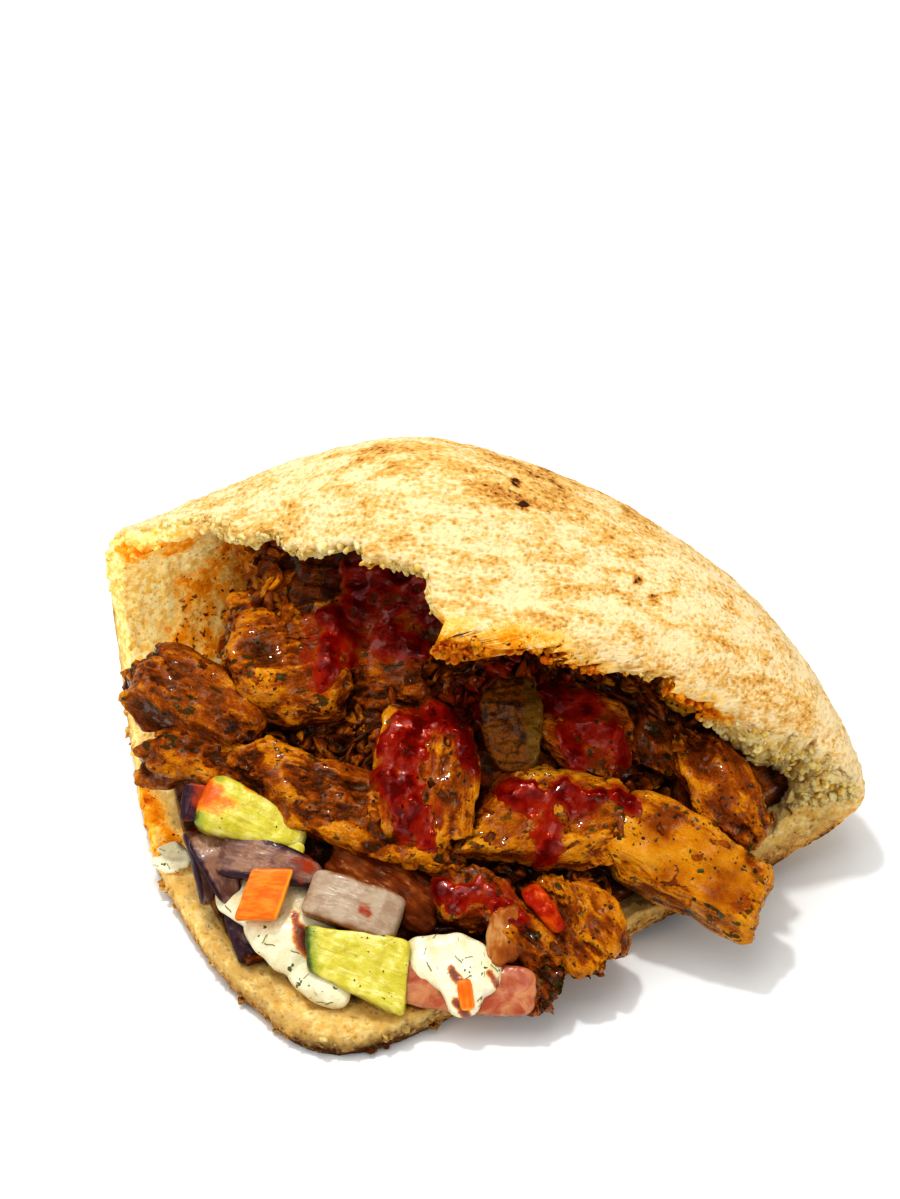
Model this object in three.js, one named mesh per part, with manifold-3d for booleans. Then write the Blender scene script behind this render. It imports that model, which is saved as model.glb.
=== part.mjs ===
// A quarter of flatbread, opened into a pocket and filled with sliced chicken, salad and sauces.
// Millimetres, +Z up. The pocket lies on its flat base with its open mouth towards -Y.
import * as THREE from "three";
import { mergeVertices } from "three/addons/utils/BufferGeometryUtils.js";
import Module from "manifold-3d";

const wasm = await Module();
wasm.setup();

// ---- Driving sizes of the bread ----
const LOWER_TIP = [-41, -81]; // corner of the lower layer, before it is rounded
const UPPER_TIP = [-13, -14]; // corner of the lifted upper layer, in plan
const UPPER_TIP_Z = 76;
const RADIUS_RIGHT = 148; // from the corner to the crust, along the right cut
const RADIUS_LEFT = 135;
const FOLD_BULGE = 7; // most a third of the way from the right end
const ANGLE_RIGHT = 29.6; // degrees from +X of the right cut
const ANGLE_LEFT = 114;
const FOLD_Z_RIGHT = 21; // height of the crust's fold at the right end
const FOLD_Z_MIDDLE_RISE = 1.7;
const FOLD_Z_LEFT = 40.7;
const CREST_RISE = 19; // how far the dome swells over a plain arch
const THICKNESS = 6.5; // of the lower layer
const FOLD_THICKNESS = 9;
const LIP_THICKNESS = 5;
const CORNER_ROUNDING = 9.5; // how far the lower corner is drawn in
const LEFT_CUT_BOW = 11; // how far the lower left cut bows outwards
const RIGHT_LIFT = 6; // how far the lower layer lifts off the table towards each end of the crust
const LEFT_LIFT = 3;
const CRUMB_SWELL = 11; // how much thicker the crumb is inside the right end of the fold
const CRUMB_SPREAD = 0.2; // how far that reaches, as a share of the sheet
const LIP_SAG = 14; // how far the crumb hangs under the right end of the upper lip
const LIP_SAG_SPREAD = 0.14; // how far back from the lip, as a share of the sheet
const BREAD_STEPS = 22;

// ---- Driving sizes of the filling ----
const FACE_LEAN = 31; // degrees, how steeply the filling's face leans back in the mouth
const FACE_FOOT = [-62, 13]; // y and z of a point on that face
const HEAP_DEPTH = 10; // how far the heap lies behind it
const HEAP_BACK_SLOPE = 0.6; // how much steeper it rises under the dome
const HEAP_LEFT_HOLLOW = 34; // how far it sinks towards the back of the left wall
const HEAP_REACH = 0.96; // how far back it goes, as a share of the way to the fold
const HEAP_LEFT_BARE = 0.24; // how much sooner it stops on the left, where the wall stays bare
const GAP = 0.32; // between neighbours
const HEAP_GAP = 0.6; // between the heap and what lies on it
const HEAP_STEPS = 9;

const radians = THREE.MathUtils.degToRad;
const lerp = THREE.MathUtils.lerp;
const clamp = THREE.MathUtils.clamp;
const smooth = (x, low, high) => THREE.MathUtils.smoothstep(x, low, high);

// ---- Bread: a sheet over the unit square. ----
// q runs from the right cut (0) to the left cut (1), and reach from a corner to the crust.
function foldPoint(q) {
  const angle = radians(lerp(ANGLE_RIGHT, ANGLE_LEFT, q));
  const radius = lerp(RADIUS_RIGHT, RADIUS_LEFT, q) + FOLD_BULGE * Math.sin(Math.PI * Math.pow(q, 0.56));
  const z = lerp(FOLD_Z_RIGHT, FOLD_Z_LEFT, q) + FOLD_Z_MIDDLE_RISE * Math.sin(Math.PI * q);
  return new THREE.Vector3(
    LOWER_TIP[0] + radius * Math.cos(angle),
    LOWER_TIP[1] + radius * Math.sin(angle),
    z,
  );
}

// Lower layer: flat on the table, then a quarter superellipse up to the fold.
function lowerPoint(q, reach) {
  const fold = foldPoint(q);
  const start = lerp(0.72, 0.5, smooth(q, 0.6, 1));
  const bend = clamp((reach - start) / (1 - start), 0, 1);
  const base = thicknessAt(reach) / 2 + (RIGHT_LIFT * smooth(1 - q, 0.62, 1) + LEFT_LIFT * smooth(q, 0.7, 1)) * reach;
  const rise = 1 - Math.pow(1 - Math.pow(bend, 2.3), 1 / 2.3);
  const x = lerp(LOWER_TIP[0], fold.x, reach);
  const y = lerp(LOWER_TIP[1], fold.y, reach);
  const outward = LEFT_CUT_BOW * Math.pow(q, 3) * Math.sin(Math.PI * Math.min(1, reach));
  const rounding = CORNER_ROUNDING * Math.exp(-reach / 0.09);
  return new THREE.Vector3(
    x - outward + rounding * 0.35,
    y - outward * 0.45 + rounding * 0.94,
    lerp(base, fold.z, rise),
  );
}

// Upper layer: it rises from the fold as a quarter superellipse, swells into a dome, and eases down to its corner.
function upperPoint(q, travel) {
  const fold = foldPoint(q);
  const middle = Math.max(0, Math.sin(Math.PI * Math.pow(q, 1.4)));
  const power = lerp(lerp(1.45, 3.4, q), 3.9, Math.sqrt(middle));
  const turn = (Math.PI / 2) * Math.min(1, travel);
  const share = 1 - Math.pow(Math.cos(turn), 2 / power);
  const rise = Math.pow(Math.sin(turn), 2 / power);
  const swell = CREST_RISE * Math.pow(middle, 1.55) * Math.pow(Math.sin(Math.PI * Math.pow(share, 0.7)), 1.25);
  return new THREE.Vector3(
    lerp(fold.x, UPPER_TIP[0], share),
    lerp(fold.y, UPPER_TIP[1], share),
    lerp(fold.z, UPPER_TIP_Z, rise) + swell,
  );
}

function sheetPoint(s, t) {
  const sum = s + t;
  if (sum <= 1) return lowerPoint(sum > 0 ? clamp(t / sum, 0, 1) : 0.5, sum);
  const back = 2 - sum;
  return upperPoint(back > 0 ? clamp((1 - s) / back, 0, 1) : 0.5, 1 - back);
}

// How far the torn left lip of the upper layer is set back, as a share of the sheet.
const tornBack = (s) => (0.022 * smooth(s, 0.3, 0.6) - 0.008 * smooth(s, 0.6, 0.93)) * (1 - smooth(s, 0.972, 1));

// Thicker round the fold than at the cuts and the lip.
function thicknessAt(sum) {
  return sum <= 1
    ? lerp(THICKNESS, FOLD_THICKNESS, smooth(sum, 0.6, 1))
    : lerp(FOLD_THICKNESS, LIP_THICKNESS, smooth(sum, 1, 1.8));
}

// The crumb inside the right end of the fold swells back along the cut, and hangs under the lip above it.
function crumbSwell(s, t) {
  const amount = CRUMB_SWELL * Math.exp(-((1 - s) ** 2 + t ** 2) / CRUMB_SPREAD ** 2);
  const sag = LIP_SAG * Math.exp(-(((1 - s) / LIP_SAG_SPREAD) ** 2)) * smooth(t, 0.1, 0.32) * (1 - smooth(t, 0.32, 0.6));
  return new THREE.Vector3(-amount * Math.cos(radians(ANGLE_RIGHT)), -amount * Math.sin(radians(ANGLE_RIGHT)), -sag);
}

// The bread's closed skin, or the same skin grown outwards on every side.
function breadGeometry(grow = 0, steps = BREAD_STEPS) {
  const step = 0.004;
  const at = (s, t) => sheetPoint(s, t * (1 - tornBack(s)));
  const positions = [];
  for (const side of [1, -1]) {
    for (let j = 0; j <= steps; j++) {
      for (let i = 0; i <= steps; i++) {
        const s = clamp(i / steps, step, 1 - step);
        const t = clamp(j / steps, step, 1 - step);
        const along = at(s + step, t).sub(at(s - step, t)).normalize();
        const across = at(s, t + step).sub(at(s, t - step)).normalize();
        const normal = new THREE.Vector3().crossVectors(along, across).normalize();
        const point = at(i / steps, j / steps);
        point.addScaledVector(normal, side * (thicknessAt((i + j) / steps) / 2 + grow));
        if (side > 0) point.add(crumbSwell(i / steps, j / steps));
        if (i % steps === 0) point.addScaledVector(along, i ? grow : -grow);
        if (j % steps === 0) point.addScaledVector(across, j ? grow : -grow);
        positions.push(point.x, point.y, point.z);
      }
    }
  }
  const row = steps + 1;
  const index = [];
  const quad = (a, b, c, d) => index.push(a, b, d, b, c, d); // the fold runs along the b-d diagonals
  for (let j = 0; j < steps; j++) {
    for (let i = 0; i < steps; i++) {
      const a = j * row + i;
      const under = a + row * row;
      quad(a, a + 1, a + row + 1, a + row);
      index.push(under, under + row, under + 1, under + 1, under + row, under + row + 1);
    }
  }
  const rim = [];
  for (let i = 0; i < steps; i++) rim.push(i);
  for (let i = 0; i < steps; i++) rim.push(i * row + steps);
  for (let i = steps; i > 0; i--) rim.push(steps * row + i);
  for (let i = steps; i > 0; i--) rim.push(i * row);
  rim.forEach((a, i) => {
    const b = rim[(i + 1) % rim.length];
    quad(a, a + row * row, b + row * row, b);
  });
  const geometry = new THREE.BufferGeometry();
  geometry.setAttribute("position", new THREE.Float32BufferAttribute(positions, 3));
  geometry.setIndex(index);
  geometry.computeVertexNormals();
  return geometry;
}

// ---- From geometries to solids and back ----
function solidOf(geometry) {
  const bare = geometry.clone();
  bare.deleteAttribute("normal");
  bare.deleteAttribute("uv");
  const merged = mergeVertices(bare, 1e-4);
  return new wasm.Manifold(
    new wasm.Mesh({
      numProp: 3,
      vertProperties: Float32Array.from(merged.attributes.position.array),
      triVerts: Uint32Array.from(merged.index.array),
    }),
  );
}

function geometryOf(solid) {
  const mesh = solid.getMesh();
  const geometry = new THREE.BufferGeometry();
  geometry.setAttribute("position", new THREE.BufferAttribute(Float32Array.from(mesh.vertProperties), 3));
  geometry.setIndex(new THREE.BufferAttribute(Uint32Array.from(mesh.triVerts), 1));
  geometry.computeVertexNormals();
  return geometry;
}

const largest = (solid) => solid.decompose().reduce((a, b) => (b.volume() > a.volume() ? b : a));

// ---- The filling's pieces ----
// Each lies along the line between the middles of its two ends, its width across the filling's
// face and its height out of it, turned about that line by roll degrees.
function frameAlong(from, to, roll) {
  const along = new THREE.Vector3(...to).sub(new THREE.Vector3(...from)).normalize();
  const out = new THREE.Vector3(0, -Math.sin(radians(FACE_LEAN)), Math.cos(radians(FACE_LEAN)));
  out.addScaledVector(along, -out.dot(along)).normalize().applyAxisAngle(along, radians(roll));
  const across = new THREE.Vector3().crossVectors(out, along);
  const centre = new THREE.Vector3(...from).add(new THREE.Vector3(...to)).multiplyScalar(0.5);
  return new THREE.Matrix4().makeBasis(along, across, out).setPosition(centre);
}

// Meat: a superellipsoid that bends sideways, with a swollen, furrowed surface.
function meat({ from, to, width, height, roll = 0, squareness = 2.8, bend = 0, taper = 0, relief = 0.05, seed = 0, detail = 2 }, grow = 0) {
  const length = new THREE.Vector3(...from).distanceTo(new THREE.Vector3(...to));
  const half = [length / 2, width / 2, height / 2];
  const geometry = new THREE.IcosahedronGeometry(1, detail);
  const place = geometry.attributes.position;
  for (let i = 0; i < place.count; i++) {
    const d = [place.getX(i), place.getY(i), place.getZ(i)];
    const norm = Math.pow(d.reduce((sum, c) => sum + Math.pow(Math.abs(c), squareness), 0), -1 / squareness);
    const furrows =
      Math.sin(5.1 * d[1] + 2.3 * d[0] + seed) + Math.sin(4.3 * d[2] - 3.1 * d[0] + 2 * seed) + Math.sin(6.7 * d[0] + 3.7 * d[1] - seed);
    const [x, y, z] = d.map((c, axis) => c * (norm * half[axis] * (1 + relief * furrows) + grow));
    const u = x / half[0];
    place.setXYZ(i, x, y * (1 - taper * u) + bend * (u * u - 0.4), z);
  }
  return solidOf(geometry.applyMatrix4(frameAlong(from, to, roll)));
}

// Cut vegetables: a block that arches out of the face, cups across and tapers towards its far end.
function slice({ from, to, width, height, roll = 0, arch = 0, cup = 0, taper = 0, skew = 0, thin = 0, steps = 5 }, grow = 0) {
  const length = new THREE.Vector3(...from).distanceTo(new THREE.Vector3(...to));
  const geometry = new THREE.BoxGeometry(length + 2 * grow, width + 2 * grow, height + 2 * grow, steps, 3, 1);
  const place = geometry.attributes.position;
  for (let i = 0; i < place.count; i++) {
    const [x, y, z] = [place.getX(i), place.getY(i), place.getZ(i)];
    const [u, v] = [(2 * x) / length, (2 * y) / width];
    place.setXYZ(i, x + skew * v, y * (1 - taper * u), z * (1 - thin * u) + arch * (0.4 - u * u) + cup * (v * v - 0.4));
  }
  return solidOf(geometry.applyMatrix4(frameAlong(from, to, roll)));
}

// Sauce: thick runs that flow into each other, each a smooth flattened drop.
function sauce({ runs }, grow = 0) {
  return runs.map((run) => meat({ squareness: 2.2, relief: 0, detail: 1, ...run }, grow)).reduce((all, run) => all.add(run));
}

// Meat under a thick drizzle of ketchup, which sticks to it.
function drizzledMeat(size, grow = 0) {
  return meat(size, grow).add(sauce(size, grow));
}

// The heap: it stands on the lower layer and is lumpy on top, HEAP_DEPTH behind the filling's face
// in the mouth and up to the dome further back, and rounds down towards both cuts and the corner.
function heap() {
  const geometry = new THREE.BoxGeometry(1, 1, 1, HEAP_STEPS, HEAP_STEPS, 1);
  const place = geometry.attributes.position;
  for (let i = 0; i < place.count; i++) {
    const q = lerp(0.04, 0.95, place.getX(i) + 0.5);
    const reach = lerp(0.24, HEAP_REACH - HEAP_LEFT_BARE * smooth(q, 0.78, 0.88), place.getY(i) + 0.5);
    const point = lowerPoint(q, reach);
    point.z += THICKNESS / 2 + 1;
    if (place.getZ(i) > 0) {
      const hollow = HEAP_LEFT_HOLLOW * smooth(-point.x, 54, 64) * smooth(point.y, 4, 16);
      const face = FACE_FOOT[1] + (point.y - FACE_FOOT[0]) * Math.tan(radians(FACE_LEAN)) - HEAP_DEPTH + HEAP_BACK_SLOPE * Math.max(0, point.y) - hollow;
      const lumps = Math.sin(point.x / 4.1) * Math.cos(point.y / 3.7) + Math.sin(point.x / 6.3 + point.y / 5.1);
      const shoulder = Math.sqrt(smooth(q, 0, 0.2) * smooth(1 - q, 0, 0.3) * smooth(reach, 0.15, 0.45));
      point.z = lerp(point.z + 1, Math.max(face + 1.6 * lumps, point.z + 2), shoulder);
    }
    place.setXYZ(i, point.x, point.y, point.z);
  }
  geometry.index.array.reverse();
  return solidOf(geometry);
}

const KETCHUP = 0x8e1408;
const ORANGE_MEAT = 0xb8651c;
const BROWN_MEAT = 0x7a4318;
const PALE_MEAT = 0xd09a3c;
const CUCUMBER = 0xd9d648;
const ONION = 0x9d7a86;
const CARROT = 0xe26a10;
const YOGHURT = 0xf2ecd8;

// Pieces that lie on top come first: each later one is cut away where they press into it.
const FILLING = [
  // Salad and sauces along the lower left cut, and at the corner
  { name: "carrot_square", make: slice, color: CARROT, from: [-59, -44, 24], to: [-49, -44, 24], width: 12, height: 3.5, skew: 2 },
  { name: "carrot_stick", make: slice, color: CARROT, from: [-7, -62, 15], to: [-6, -68, 11], width: 3.5, height: 3, steps: 2 },
  { name: "cucumber_upper", make: slice, color: CUCUMBER, from: [-70, -21, 32], to: [-45, -30, 28], width: 13, height: 10, taper: 0.25, thin: 0.2 },
  { name: "cucumber_lower", make: slice, color: CUCUMBER, from: [-44, -53, 15], to: [-20, -60, 12], width: 17, height: 8, skew: -2, thin: -0.1 },
  { name: "onion_chunk_white", make: slice, color: 0xb9a39b, from: [-44, -41, 22], to: [-22, -48, 19], width: 12, height: 8, arch: 1.5 },
  { name: "onion_slab", make: slice, color: ONION, from: [-65, -32, 27], to: [-41, -39, 25], width: 10, height: 4, arch: 2, taper: 0.35 },
  { name: "onion_strip_purple", make: slice, color: 0x4a1e35, from: [-71, -19, 36], to: [-72, -26, 30], width: 6, height: 3, steps: 3 },
  { name: "onion_layer_left", make: slice, color: ONION, from: [-72, -24, 25], to: [-68, -39, 15], width: 5, height: 2.5, arch: 2, taper: 0.3, roll: -30 },
  { name: "onion_layer_middle", make: slice, color: ONION, from: [-68, -27, 28], to: [-62, -41, 18], width: 9, height: 3, arch: 2.5, taper: 0.4, cup: 0.8 },
  { name: "onion_triangle", make: slice, color: 0x5a2c44, from: [-63, -40, 14], to: [-55, -48, 9], width: 9, height: 3, taper: -0.5 },
  { name: "cucumber_bit", make: slice, color: 0xd8cf8a, from: [-51, -32, 28], to: [-45, -34, 27], width: 5, height: 4, steps: 2 },
  {
    name: "yoghurt_left", make: sauce, color: YOGHURT,
    runs: [
      { from: [-67, -37, 18], to: [-36, -46, 16], width: 14, height: 7 },
      { from: [-57, -44, 17], to: [-43, -54, 11], width: 14, height: 8 },
      { from: [-48, -53, 10], to: [-34, -63, 9.5], width: 10, height: 7 },
    ],
  },
  {
    name: "yoghurt_right", make: sauce, color: YOGHURT,
    runs: [
      { from: [-22, -54, 15], to: [2, -60, 14], width: 14, height: 7 },
      { from: [-10, -55, 15], to: [-6, -69, 9], width: 9, height: 6 },
    ],
  },
  { name: "yoghurt_dab", make: meat, color: YOGHURT, relief: 0, detail: 1, from: [-84.5, -17.5, 10], to: [-74, -22, 10], width: 9, height: 3.4 },
  { name: "tomato_slice", make: slice, color: 0xb0413a, from: [-22, -60, 12], to: [10, -63, 11], width: 12, height: 4, arch: -1 },
  // Chicken, mushroom and pepper on the right
  { name: "pepper_strip", make: slice, color: 0xd0420e, from: [8, -43, 26], to: [16, -53, 22], width: 5, height: 3, arch: 1.5, steps: 4 },
  { name: "mushroom_stalk", make: meat, color: 0xa98550, from: [3, -46, 22], to: [2, -58, 15], width: 8, height: 5, squareness: 3.5, seed: 1, detail: 1 },
  { name: "chicken_slab_right", make: meat, color: PALE_MEAT, from: [29, -26, 30], to: [64, -44, 19], width: 21, height: 12, squareness: 4, taper: 0.1, relief: 0.03, seed: 2, detail: 3 },
  {
    name: "chicken_slab_ketchup", make: drizzledMeat, color: KETCHUP, from: [-14, -4, 47], to: [-18, -34, 30], width: 24, height: 9, squareness: 3.4, seed: 3,
    runs: [
      { from: [-27, -12, 46], to: [-26, -27, 36], width: 7, height: 6 },
      { from: [-26, -6, 50], to: [-6, -2, 51], width: 9, height: 6 },
      { from: [-13, -12, 47], to: [-18, -32, 34], width: 8, height: 6 },
    ],
  },
  { name: "mushroom_slice", make: slice, color: 0x6b5a2a, from: [4, 2, 52], to: [6, -19, 40], width: 15, height: 5, arch: 1.5, cup: 0.8, taper: 0.1, roll: 12 },
  { name: "chicken_strip_centre", make: meat, color: PALE_MEAT, from: [-12, -25, 31], to: [34, -27, 29], width: 22, height: 14, squareness: 3.2, seed: 4, bend: -1.5 },
  { name: "chicken_chunk_right", make: meat, color: ORANGE_MEAT, from: [47, -3, 38], to: [61, -28, 24], width: 18, height: 16, squareness: 2.6, taper: -0.12, seed: 5 },
  {
    name: "chicken_back_middle", make: drizzledMeat, color: KETCHUP, from: [11, -3, 41], to: [33, -9, 37], width: 25, height: 15, seed: 6,
    runs: [{ from: [12, 2, 49], to: [27, -10, 43], width: 13, height: 6, detail: 1 }],
  },
  { name: "chicken_chunk_back", make: meat, color: BROWN_MEAT, from: [34, 6, 42], to: [46, -13, 31], width: 17, height: 14, seed: 7, detail: 1 },
  { name: "chicken_piece_back", make: meat, color: PALE_MEAT, from: [32, 9, 48], to: [49, 3, 45], width: 12, height: 8, seed: 8, detail: 1 },
  { name: "chicken_lower_right", make: meat, color: ORANGE_MEAT, from: [18, -38, 22], to: [30, -56, 13], width: 12, height: 9, squareness: 3.2, seed: 9 },
  { name: "chicken_lower_middle", make: meat, color: 0x8f2f14, from: [11, -38, 22], to: [24, -59, 12], width: 12, height: 9, squareness: 3.2, seed: 10, detail: 1 },
  { name: "chicken_lower_strip", make: meat, color: BROWN_MEAT, from: [-8, -35, 24], to: [16, -57, 13], width: 11, height: 9, seed: 11 },
  { name: "chicken_lower_left", make: meat, color: 0x7c2410, from: [-15, -39, 20], to: [3, -42, 19], width: 17, height: 11, seed: 12, detail: 1 },
  { name: "chicken_lower_dark", make: meat, color: BROWN_MEAT, from: [4, -47, 15], to: [13, -65, 7.5], width: 12, height: 8, squareness: 3.2, seed: 13, detail: 1 },
  { name: "mushroom_lower", make: meat, color: BROWN_MEAT, from: [-39, -30, 24], to: [-13, -44, 17], width: 16, height: 9, squareness: 3, seed: 14 },
  // Chicken on the left
  { name: "chicken_strip_front", make: meat, color: ORANGE_MEAT, from: [-64, -13, 36], to: [-6, -33, 25], width: 19, height: 14, squareness: 3.2, seed: 15 },
  { name: "chicken_left", make: meat, color: ORANGE_MEAT, from: [-89, 8, 47], to: [-55, -4, 41], width: 20, height: 16, squareness: 3, seed: 16 },
  { name: "chicken_shreds_left", make: meat, color: BROWN_MEAT, from: [-85, -9, 37], to: [-59, -13, 35], width: 14, height: 10, relief: 0.08, seed: 17, detail: 1 },
  {
    name: "chicken_upper_middle", make: drizzledMeat, color: KETCHUP, from: [-37, 13, 47], to: [-13, 16, 47], width: 34, height: 20, seed: 18,
    runs: [{ from: [-36, 22, 60], to: [-16, 18, 59], width: 14, height: 6 }],
  },
  { name: "chicken_upper_left", make: meat, color: ORANGE_MEAT, from: [-65, 15, 49], to: [-33, 14, 47], width: 39, height: 24, squareness: 4.2, relief: 0.03, roll: -14, seed: 19 },
  { name: "chicken_under_ketchup", make: meat, color: BROWN_MEAT, from: [-8, -8, 37], to: [16, -17, 31], width: 17, height: 12, seed: 20, detail: 1 },
];

// ---- Assembly ----
const group = new THREE.Group();

function addMesh(name, geometry, color) {
  const mesh = new THREE.Mesh(geometry, new THREE.MeshStandardMaterial({ color, roughness: 0.6, metalness: 0 }));
  mesh.name = name;
  group.add(mesh);
}

addMesh("bread_pocket", breadGeometry(), 0xe6c48a);

const cut = (whole, cutters) => largest(cutters.reduce((rest, cutter) => rest.subtract(cutter), whole));
const neighbours = [solidOf(breadGeometry(GAP))];
const heapNeighbours = [solidOf(breadGeometry(3 * HEAP_GAP, 9))]; // the bread with fewer facets, so further out
for (const { name, make, color, ...size } of FILLING) {
  addMesh(name, geometryOf(cut(make(size), neighbours)), color);
  neighbours.push(make(size, GAP));
  heapNeighbours.push(make(size, HEAP_GAP));
}
addMesh("chicken_heap", geometryOf(cut(heap(), heapNeighbours)), BROWN_MEAT);

// The origin is under the middle of the whole.
const extent = new THREE.Box3().setFromObject(group);
group.position.set(-(extent.min.x + extent.max.x) / 2, -(extent.min.y + extent.max.y) / 2, -extent.min.z);

export default group;
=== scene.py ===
"""Dresses a doner kebab sandwich: a quarter of flatbread, opened into a pocket and filled with
sliced chicken, salad and sauces.

Shapes are worked out in the millimetres of the part's source. They become metres, and move to
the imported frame, when their mesh is made.
"""

from functools import lru_cache
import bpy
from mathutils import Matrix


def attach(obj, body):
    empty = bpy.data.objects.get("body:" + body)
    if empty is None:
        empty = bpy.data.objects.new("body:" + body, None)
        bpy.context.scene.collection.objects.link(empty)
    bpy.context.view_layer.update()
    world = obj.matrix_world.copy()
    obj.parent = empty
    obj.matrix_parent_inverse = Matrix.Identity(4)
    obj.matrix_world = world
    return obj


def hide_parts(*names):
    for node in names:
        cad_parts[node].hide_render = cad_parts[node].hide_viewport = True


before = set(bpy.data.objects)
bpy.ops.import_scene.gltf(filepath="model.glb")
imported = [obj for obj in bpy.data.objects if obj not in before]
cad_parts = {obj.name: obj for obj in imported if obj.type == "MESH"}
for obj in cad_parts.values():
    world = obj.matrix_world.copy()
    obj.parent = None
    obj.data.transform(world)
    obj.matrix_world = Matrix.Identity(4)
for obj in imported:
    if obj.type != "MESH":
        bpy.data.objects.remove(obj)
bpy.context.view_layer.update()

from types import SimpleNamespace

import bpy
import numpy as np
from bpy.props import FloatProperty, FloatVectorProperty, IntProperty, PointerProperty

bl_info = {
    "name": "Doner kebab sandwich",
    "version": (1, 0, 0),
    "blender": (4, 5, 0),
    "location": "3D View > Sidebar > Kebab",
    "description": "Builds the bread, filling, salad and sauces of a doner kebab sandwich",
    "category": "Add Mesh",
}

MM = 0.001
ORIGIN = np.array([3.144, 2.910, 0.006])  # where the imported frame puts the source's own origin
UP = np.array([0.0, 0.0, 1.0])
BLACK = (0.0, 0.0, 0.0)


# ---------------------------------------------------------------------------
# Arithmetic on whole arrays
# ---------------------------------------------------------------------------
def lerp(low, high, share):
    return low + (high - low) * share


def smooth(x, low, high):
    """0 below low and 1 above high, with a cubic between."""
    share = np.clip((x - low) / (high - low), 0, 1)
    return share * share * (3 - 2 * share)


def unit(vectors):
    return vectors / (np.linalg.norm(vectors, axis=-1, keepdims=True) + 1e-12)


def srgb(red, green, blue):
    """A colour given as it looks on screen, from 0 to 255, as linear light."""
    shown = np.array([red, green, blue]) / 255
    return tuple(np.where(shown <= 0.04045, shown / 12.92, ((shown + 0.055) / 1.055) ** 2.4))


TABLE = 256  # entries in the tables of random numbers and slopes
SHUFFLED = np.random.default_rng(11).permutation(TABLE)
SLOPES = unit(np.random.default_rng(12).normal(size=(TABLE, 3)))
NOISE_GAIN = 1.7  # brings gradient noise to about -1 to 1


def slope_of(cell):
    """The random slope of each cell, found by shuffling its three whole numbers in turn."""
    pick = 0
    for axis in range(3):
        pick = SHUFFLED[(pick + cell[..., axis]) % TABLE]
    return SLOPES[pick]


def noise(points, size, seed=0):
    """Gradient noise from about -1 to 1: each corner of a lattice of cells has a random slope,
    and a point blends the slopes of its cell's eight corners. The size is a cell's, in each
    direction or in all."""
    place = points / np.asarray(size, float) + 37.3 * seed
    corner = np.floor(place).astype(int)
    part = place - corner
    fade = part**3 * (part * (part * 6 - 15) + 10)
    total = 0.0
    for offset in np.ndindex(2, 2, 2):
        weight = np.where(offset, fade, 1 - fade).prod(-1)
        total = total + weight * ((part - offset) * slope_of(corner + offset)).sum(-1)
    return NOISE_GAIN * total


def fractal(points, size, octaves=3, seed=0):
    """Noise plus finer noise, each octave half as large and half as strong."""
    size = np.asarray(size, float)
    return sum(noise(points, size / 2**k, seed + k) / 2**k for k in range(octaves))


def ridges(points, size, octaves=2, seed=0):
    """Sharp crests from -1 to 1 where fractal noise crosses zero."""
    return 1 - 2.6 * np.abs(fractal(points, size, octaves, seed))


def terraced(values, steps, crisp=0.7):
    """Flat treads with steep rises between them, so many to each unit."""
    place = values * steps
    tread = np.floor(place)
    return (tread + smooth(place - tread, crisp, 1)) / steps


def pits(points, size, seed=0):
    """Distance to the nearest of one random point in each cell, in cells."""
    place = points / size + 19.1 * seed
    corner = np.floor(place).astype(int)
    nearest = np.full(points.shape[:-1], np.inf)
    for offset in np.ndindex(3, 3, 3):
        cell = corner + offset - 1
        centre = cell + 0.5 + 0.45 * slope_of(cell)
        nearest = np.minimum(nearest, np.linalg.norm(place - centre, axis=-1))
    return nearest


def wobble(points, size, octaves=2, seed=0):
    """A push for each point, with its own noise in each of the three directions."""
    return np.stack([fractal(points, size, octaves, seed + k) for k in (1, 2, 3)], -1)


# ---------------------------------------------------------------------------
# Grids and meshes
# ---------------------------------------------------------------------------
def grid_quads(index):
    """The faces of a grid of vertex numbers."""
    return np.stack([index[:-1, :-1], index[1:, :-1], index[1:, 1:], index[:-1, 1:]], -1).reshape(-1, 4)


@lru_cache(maxsize=None)
def box_grid(counts, spread=0.7):
    """Points on a cube from -1 to 1, and its faces: six grids of two parameters joined along
    their borders. Along each side, the steps are those of a tangent, which even out once the
    cube is swollen into a ball."""
    sides = [np.tan(np.linspace(-spread, spread, n + 1)) / np.tan(spread) for n in counts]
    points, quads, first = [], [], 0
    for axis in range(3):
        i, j = (axis + 1) % 3, (axis + 2) % 3
        a, b = np.meshgrid(sides[i], sides[j], indexing="ij")
        for sign in (1.0, -1.0):
            side = np.empty(a.shape + (3,))
            side[..., axis], side[..., i], side[..., j] = sign, a, b
            faces = grid_quads(np.arange(a.size).reshape(a.shape) + first)
            quads.append(faces if sign > 0 else faces[:, ::-1])
            points.append(side.reshape(-1, 3))
            first += a.size
    points, same = np.unique(np.concatenate(points).round(6), axis=0, return_inverse=True)
    return points, same.reshape(-1)[np.concatenate(quads)]


def vertex_sum(values, quads, count):
    """Adds each face's value to its four corners."""
    corner = quads.T.reshape(-1)
    return np.stack([np.bincount(corner, np.tile(column, 4), count) for column in values.T], 1)


def normals_of(points, quads):
    """The unit normal at each vertex: the sum of the cross products of its faces' diagonals."""
    a, b, c, d = (points[quads[:, k]] for k in range(4))
    return unit(vertex_sum(np.cross(c - a, d - b), quads, len(points)))


def relaxed(points, quads, times):
    """Moves each vertex to the middle of its faces' middles, some times over."""
    share = vertex_sum(np.ones((len(quads), 1)), quads, len(points))
    for _ in range(times):
        points = vertex_sum(points[quads].mean(1), quads, len(points)) / share
    return points


def crest(points, quads, times):
    """How far each vertex stands proud of the surface smoothed that many times: below 0 in a crease."""
    return ((points - relaxed(points, quads, times)) * normals_of(points, quads)).sum(-1)


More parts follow.
